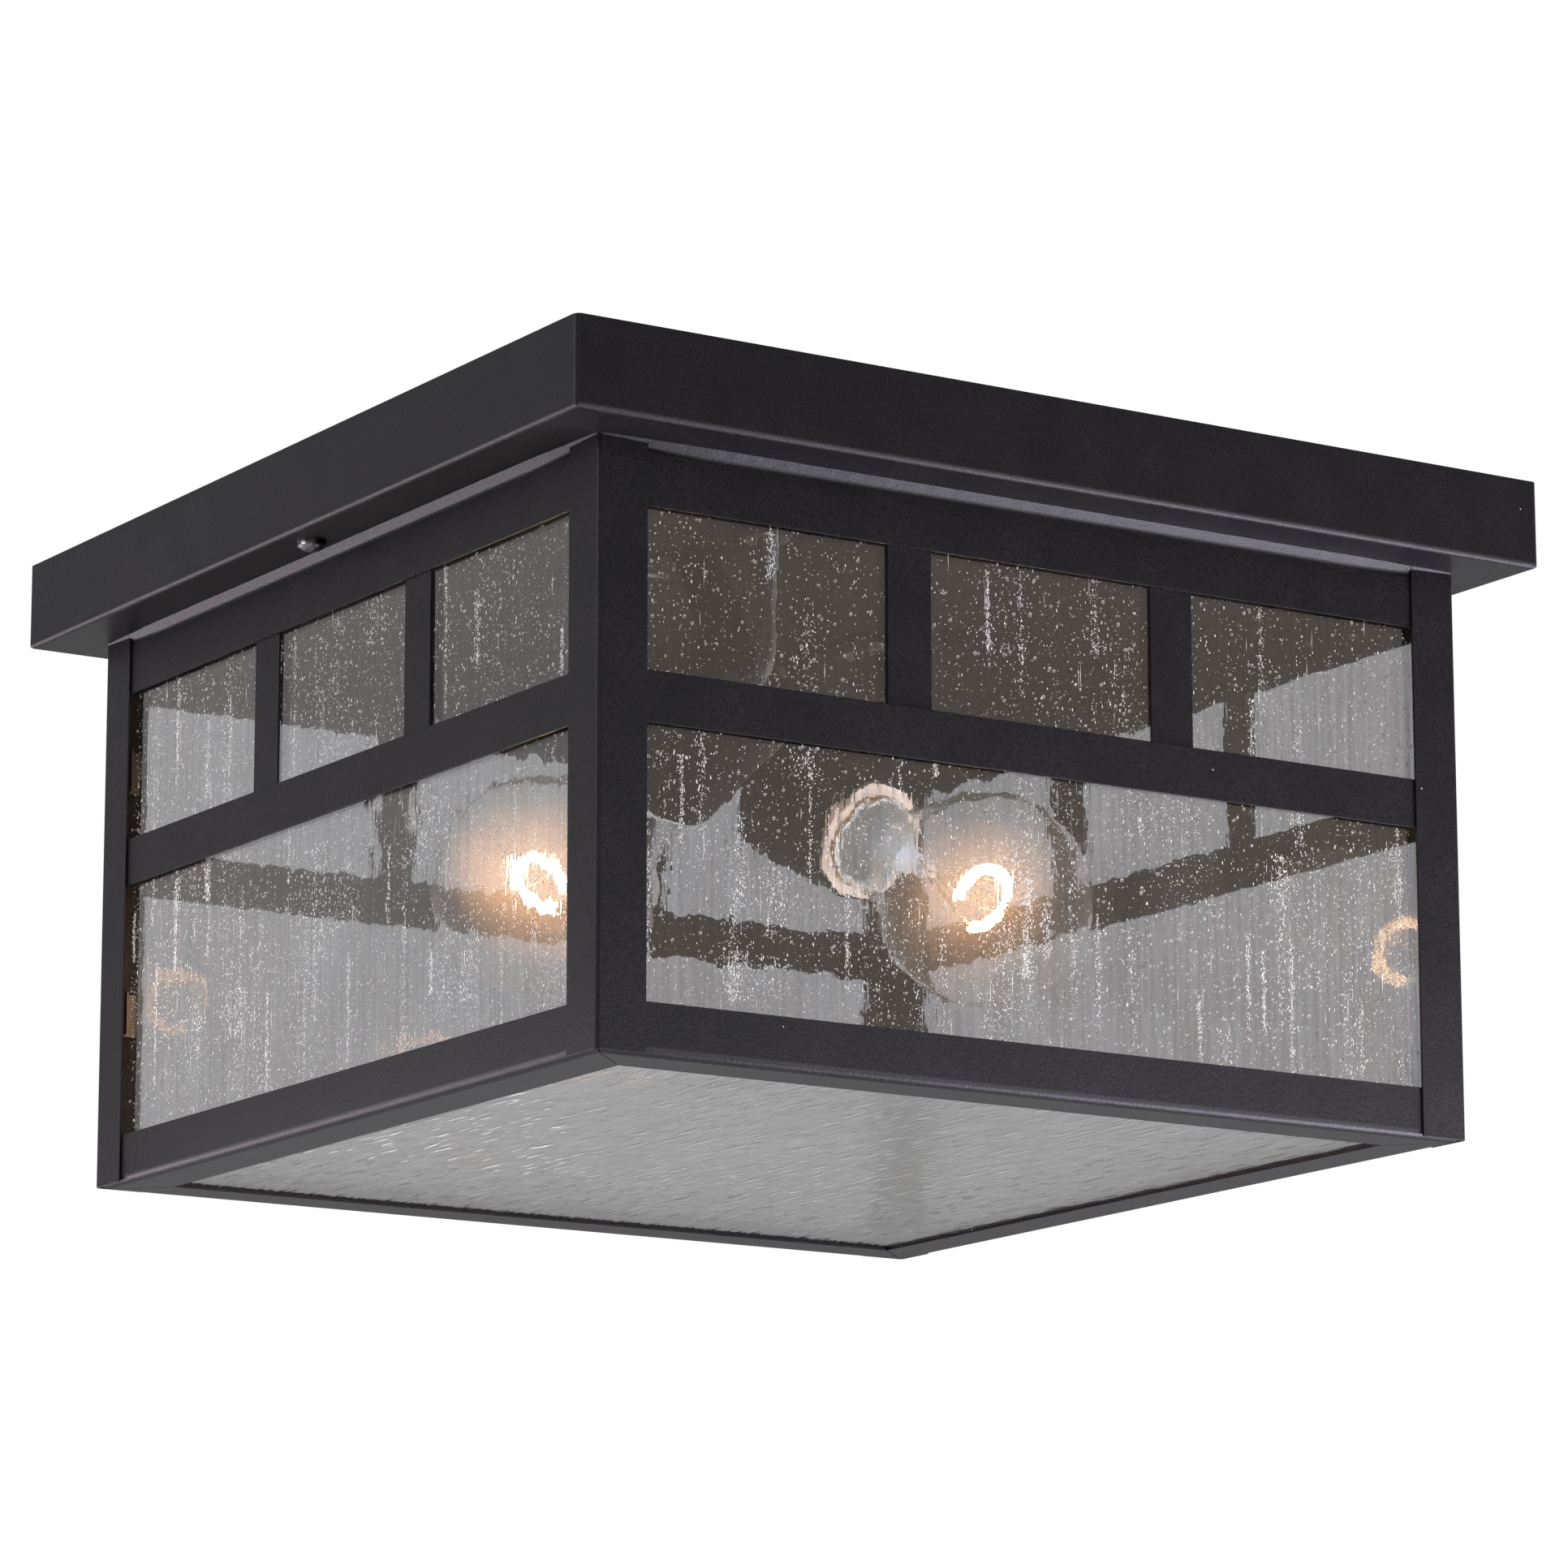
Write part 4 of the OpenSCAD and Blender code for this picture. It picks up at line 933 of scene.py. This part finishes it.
def side_bubbles(quarter):
    rng = random.Random(FIRST_SEED + quarter)
    depth = PANE_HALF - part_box("pane_right")[1][0]
    bands = make_bands(rng, windows)
    counts = []
    for name, material, bead, kinds in SEEDS:
        verts, faces = [], []
        for kind, count, band_share, spread in kinds:
            for across, along in bubble_cloud(rng, windows, count, band_share, bands):
                inward = depth + rng.uniform(-spread, spread) * MM
                add_bead(verts, faces, bead, turned((across, inward, along), quarter), kind(rng))
        piece = mesh_piece(name + SIDES[quarter], verts, faces, material)
        belongs(piece, BODY_OF[SIDE_PANES[quarter]], "seeded_glass")
        counts.append(len(faces))
    return counts


print("bubble faces:", [side_bubbles(k) for k in range(4)])

# %% [markdown]
# Where the cage meets the pan there is a thin concave bead along each side, between the posts. It is
# seen as an even light line under the pan. It could be a bump, but the light line comes from its
# hollow shape, so it is modelled: a short hollow bend and a slope up to the pan, with an upper edge
# that is a little uneven because the coat gathers there. It is lower where it passes round a post.

# %% The section of the hollow bead
COVE_LEAN = math.radians(45)
COVE_BEND = 0.55
COVE_STEPS = 5
COVE_INSET = 1.6 * MM


def cove_profile(level, height, ragged):
    """(outward, z) around the closed section: a short hollow bend, then a slope up to the pan."""
    bend = COVE_BEND * height
    out, z = 0.0, level - height
    profile = [(-COVE_INSET, z), (out, z)]
    for step in range(1, COVE_STEPS + 1):
        angle = COVE_LEAN * step / COVE_STEPS
        profile.append((bend * (1 - math.cos(angle)), z + bend * math.sin(angle)))
    out, z = profile[-1]
    reach = out + (level - z) * math.tan(COVE_LEAN) - ragged
    return profile + [(reach, level), (-COVE_INSET, level)]


def sweep_sections(sections, quarter, verts, faces):
    """Joins closed sections, each a list of points drawn for the front side, and closes both ends."""
    size = len(sections[0])
    for number, ring in enumerate(sections):
        first = len(verts)
        verts.extend(turned(point, quarter) for point in ring)
        if number:
            for i in range(size):
                j = (i + 1) % size
                faces.append((first - size + i, first - size + j, first + j, first + i))
    last = len(verts) - size
    start = last - size * (len(sections) - 1)
    faces.append(tuple(range(start, start + size)))
    faces.append(tuple(reversed(range(last, last + size))))


print("points round the bead:", len(cove_profile(0, 1, 0)))

# %% [markdown]
# The straight run is swept in small steps, grows towards its middle and wavers a little. A second,
# lower run turns the corner round the post's outer fold.

# %% The hollow bead under the pan
COVE_HEIGHT, COVE_END_HEIGHT = 2.9 * MM, 2.0 * MM
COVE_POST_HEIGHT, COVE_FOLD_HEIGHT = 1.0 * MM, 0.45 * MM
COVE_GROW = 24 * MM
COVE_PITCH = 1.5 * MM
COVE_WAVER = 0.22 * MM
COVE_END_GAP, COVE_POST_GAP = 0.05 * MM, 0.1 * MM
POST_FOLD = 1.2 * MM
POST_FOLD_STEPS = 6
SHARP_ANGLE = math.radians(40)
FIRST_WAVER = 70


def straight_run(rng, half, face, level):
    columns = int(round(2 * half / COVE_PITCH))
    sections = []
    for column in range(columns + 1):
        x = -half + 2 * half * column / columns
        grown = min(1.0, (half - abs(x)) / COVE_GROW)
        height = COVE_END_HEIGHT + (COVE_HEIGHT - COVE_END_HEIGHT) * math.sin(math.radians(90) * grown)
        profile = cove_profile(level, height, rng.uniform(0, COVE_WAVER))
        sections.append([(x, face - out, z) for out, z in profile])
    return sections


def corner_run(half, level):
    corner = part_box("post_front_right")[1][0]
    middle = corner - POST_FOLD
    stations = [(half + COVE_POST_GAP, -corner, 0, -1, COVE_POST_HEIGHT)]
    for step in range(POST_FOLD_STEPS + 1):
        turn = math.radians(-90 + 90 / POST_FOLD_STEPS * step)
        u, v = math.cos(turn), math.sin(turn)
        stations.append((middle + POST_FOLD * u, -middle + POST_FOLD * v, u, v, COVE_FOLD_HEIGHT))
    stations.append((corner, -half - COVE_POST_GAP, 1, 0, COVE_POST_HEIGHT))
    return [
        [(x + out * u, y + out * v, z) for out, z in cove_profile(level, height, 0)]
        for x, y, u, v, height in stations
    ]


def cove(quarter):
    rng = random.Random(FIRST_WAVER + quarter)
    face = -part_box("top_rail_right")[1][0]
    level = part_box("top_rail_right")[1][2]
    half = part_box("post_front_right")[0][0] - COVE_END_GAP
    verts, faces = [], []
    sweep_sections(straight_run(rng, half, face, level), quarter, verts, faces)
    sweep_sections(corner_run(half, level), quarter, verts, faces)
    piece = mesh_piece("cove_" + SIDES[quarter], verts, faces, bronze)
    piece.data.set_sharp_from_angle(angle=SHARP_ANGLE)
    belongs(piece, "lantern", "dark_bronze")
    return len(faces)


print("cove faces:", [cove(k) for k in range(4)])

# %% [markdown]
# Each lamp has a frame of its own, with its length along Z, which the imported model's sizes give. A
# coil and its wires are drawn there and then moved into the light. All are round tubes along points.

# %% The lamp's frame and a round tube
LAMP_X, LAMP_Y, LAMP_DROP = 49 * MM, 22 * MM, 81 * MM
LAMP_TURN, LAMP_DROOP = math.radians(9), math.radians(27)
QUARTER_TURN = math.radians(90)


def lamp_frame(half_turns):
    """The lamp's own frame, with +Z along the lamp, out of its socket."""
    return (
        Matrix.Rotation(half_turns * math.pi, 4, "Z")
        @ Matrix.Translation((LAMP_X, LAMP_Y, -LAMP_DROP))
        @ Matrix.Rotation(LAMP_TURN - QUARTER_TURN, 4, "Z")
        @ Matrix.Rotation(LAMP_DROOP + QUARTER_TURN, 4, "Y")
    )


def tube_along(points, radius, sides, verts, faces):
    """A round tube through the points, closed at its ends. It adds to verts and faces."""
    points = [Vector(p) for p in points]
    first = len(verts)
    across = None
    for i, point in enumerate(points):
        ahead = (points[min(i + 1, len(points) - 1)] - points[max(i - 1, 0)]).normalized()
        across = ahead.orthogonal() if across is None else across - ahead * across.dot(ahead)
        across.normalize()
        up = ahead.cross(across)
        for side in range(sides):
            turn = 2 * math.pi * side / sides
            verts.append(tuple(point + radius * (math.cos(turn) * across + math.sin(turn) * up)))
    for i in range(len(points) - 1):
        for side in range(sides):
            a = first + i * sides + side
            b = first + i * sides + (side + 1) % sides
            faces.append((a, b, b + sides, a + sides))
    last = first + (len(points) - 1) * sides
    faces.append(tuple(reversed(range(first, first + sides))))
    faces.append(tuple(range(last, last + sides)))


print("lamp frames at", [[round(v, 3) for v in lamp_frame(k).translation] for k in (0, 1)])

# %% [markdown]
# A filament is a coil of very fine wire, bent to an arc and held by thin supports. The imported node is
# a plain thin ring. Here the coil is wound for real: a small tube that follows a helix along the arc,
# a little thicker than the ring, as wide as the bright stroke that the eye sees. Only the coil glows,
# the feed wires and supports are dull metal. Few rays would ever find so thin a wire, so the light
# that it throws on other things comes from a small point lamp in the ring's middle.

# %% The wound filament
RING_R, RING_AT = 8.5 * MM, 51 * MM
RING_ARC = math.radians(290)
RING_START = math.radians(45 + 90) - RING_ARC / 2
COIL_R, COIL_WIRE, COIL_TURNS, STEPS_A_TURN = 1.35 * MM, 0.32 * MM, 42, 12
STEM_END = Vector((0, 0, 30.5 * MM))
FEED_FEET = Vector((1.4 * MM, 2.0 * MM, 23.0 * MM)), Vector((-2.0 * MM, -1.4 * MM, 23.0 * MM))
FEED_R, SUPPORT_R = 0.3 * MM, 0.15 * MM
SUPPORTS_AT = 0.25, 0.5, 0.75


def ring_point(angle, out=0.0, lift=0.0):
    reach = RING_R + out
    return Vector((reach * math.cos(angle), reach * math.sin(angle), RING_AT + lift))


def coil_points():
    steps = COIL_TURNS * STEPS_A_TURN
    turns = [2 * math.pi * i / STEPS_A_TURN for i in range(steps + 1)]
    return [
        ring_point(RING_START + RING_ARC * i / steps, COIL_R * math.cos(turn), COIL_R * math.sin(turn))
        for i, turn in enumerate(turns)
    ]


def wire_runs():
    """The two feed wires and the supports, as (start, end, radius, sides)."""
    for start, angle in zip(FEED_FEET, (RING_START, RING_START + RING_ARC)):
        yield start, ring_point(angle), FEED_R, 8
    for share in SUPPORTS_AT:
        yield STEM_END, ring_point(RING_START + share * RING_ARC), SUPPORT_R, 6


def wound_filament(side, half_turns):
    place, node = lamp_frame(half_turns), "filament_" + side
    verts, faces = [], []
    tube_along([place @ p for p in coil_points()], COIL_WIRE, 6, verts, faces)
    coil = mesh_piece("coil_" + side, verts, faces, tungsten)
    coil.visible_diffuse = False
    belongs(coil, BODY_OF[node], "tungsten", node)
    wire_verts, wire_faces = [], []
    for start, end, radius, sides in wire_runs():
        points = [place @ p for p in (start, start.lerp(end, 0.5), end)]
        tube_along(points, radius, sides, wire_verts, wire_faces)
    wires = mesh_piece("coil_" + side + "_wires", wire_verts, wire_faces, clip_steel)
    belongs(wires, BODY_OF[node], "tungsten", node)
    return len(faces)


print("coil faces:", wound_filament("right", 0), wound_filament("left", 1))

# %% [markdown]
# The point lamp has the filament's warm colour and is nearly as large as the ring, so that the
# shadows it throws are as soft as the real ones.

# %% The light that the filaments throw
BULB_WATTS = 0.5
BULB_LIGHT_COLOUR = (1.0, 0.64, 0.44)
BULB_LIGHT_R = 6 * MM


def bulb_light(name, half_turns):
    """It lights the socket, the cage and the seeds, and is not seen itself."""
    data = bpy.data.lights.new(name, "POINT")
    data.energy, data.shadow_soft_size, data.color = BULB_WATTS, BULB_LIGHT_R, BULB_LIGHT_COLOUR
    lamp = bpy.data.objects.new(name, data)
    lamp.matrix_world = lamp_frame(half_turns) @ Matrix.Translation((0, 0, RING_AT))
    lamp.visible_camera = lamp.visible_transmission = lamp.visible_glossy = False
    scene.collection.objects.link(lamp)


bulb_light("bulb_light_right", 0)
bulb_light("bulb_light_left", 1)
print("bulb lights:", BULB_WATTS, "W each")

# %% [markdown]
# Sheet metal is never knife-sharp: cut edges are slightly rounded and the coat rounds them more, and
# that round edge is what catches a thin line of light. A bevel on the finished mesh gives it. First
# the small triangles that lie in one plane are merged, so that only true edges are left to round. A
# second modifier, which weighs each face by its area, keeps the large faces flat in their shading.

# %% Rounded edges on the sheet metal
SHEET_EDGE = 0.25 * MM
EDGE_STEPS = 2
FOLD_STEP = math.radians(25)
WELD = 0.002 * MM
FLAT = math.radians(0.5)


def copy_of(node):
    """A new object with the node's mesh, welded and with flat areas merged."""
    name = node + "_sheet"
    mesh = nodes[node].data.copy()
    mesh.name = name
    build = bmesh.new()
    build.from_mesh(mesh)
    bmesh.ops.remove_doubles(build, verts=build.verts, dist=WELD)
    bmesh.ops.dissolve_limit(build, angle_limit=FLAT, verts=build.verts, edges=build.edges)
    build.to_mesh(mesh)
    build.free()
    piece = bpy.data.objects.new(name, mesh)
    scene.collection.objects.link(piece)
    return piece


def apply_modifiers(piece):
    graph = bpy.context.evaluated_depsgraph_get()
    finished = bpy.data.meshes.new_from_object(piece.evaluated_get(graph))
    piece.modifiers.clear()
    old = piece.data
    piece.data = finished
    bpy.data.meshes.remove(old)


def soften(piece):
    bevel = piece.modifiers.new("edges", "BEVEL")
    bevel.width = SHEET_EDGE
    bevel.segments = EDGE_STEPS
    bevel.limit_method = "ANGLE"
    bevel.angle_limit = FOLD_STEP
    apply_modifiers(piece)
    piece.data.shade_smooth()
    piece.data.set_sharp_from_angle(angle=SHARP_ANGLE)
    even = piece.modifiers.new("even_faces", "WEIGHTED_NORMAL")
    even.mode = "FACE_AREA"
    even.keep_sharp = True
    apply_modifiers(piece)


sheet_nodes = [node for node in nodes if node.startswith(SHEET_METAL)]
for node in sheet_nodes:
    piece = copy_of(node)
    soften(piece)
    dress(piece, bronze)
    belongs(piece, BODY_OF[node], "dark_bronze", node)
print("rounded", len(sheet_nodes), "sheet pieces")

# %% [markdown]
# A look through the lantern passes both faces of two panes and often a bulb's shell as well, so light
# may bounce more often here than Blender allows by itself.

# %% Light paths
scene.cycles.max_bounces = 16
scene.cycles.transmission_bounces = 16
scene.cycles.transparent_max_bounces = 16
scene.cycles.glossy_bounces = 8
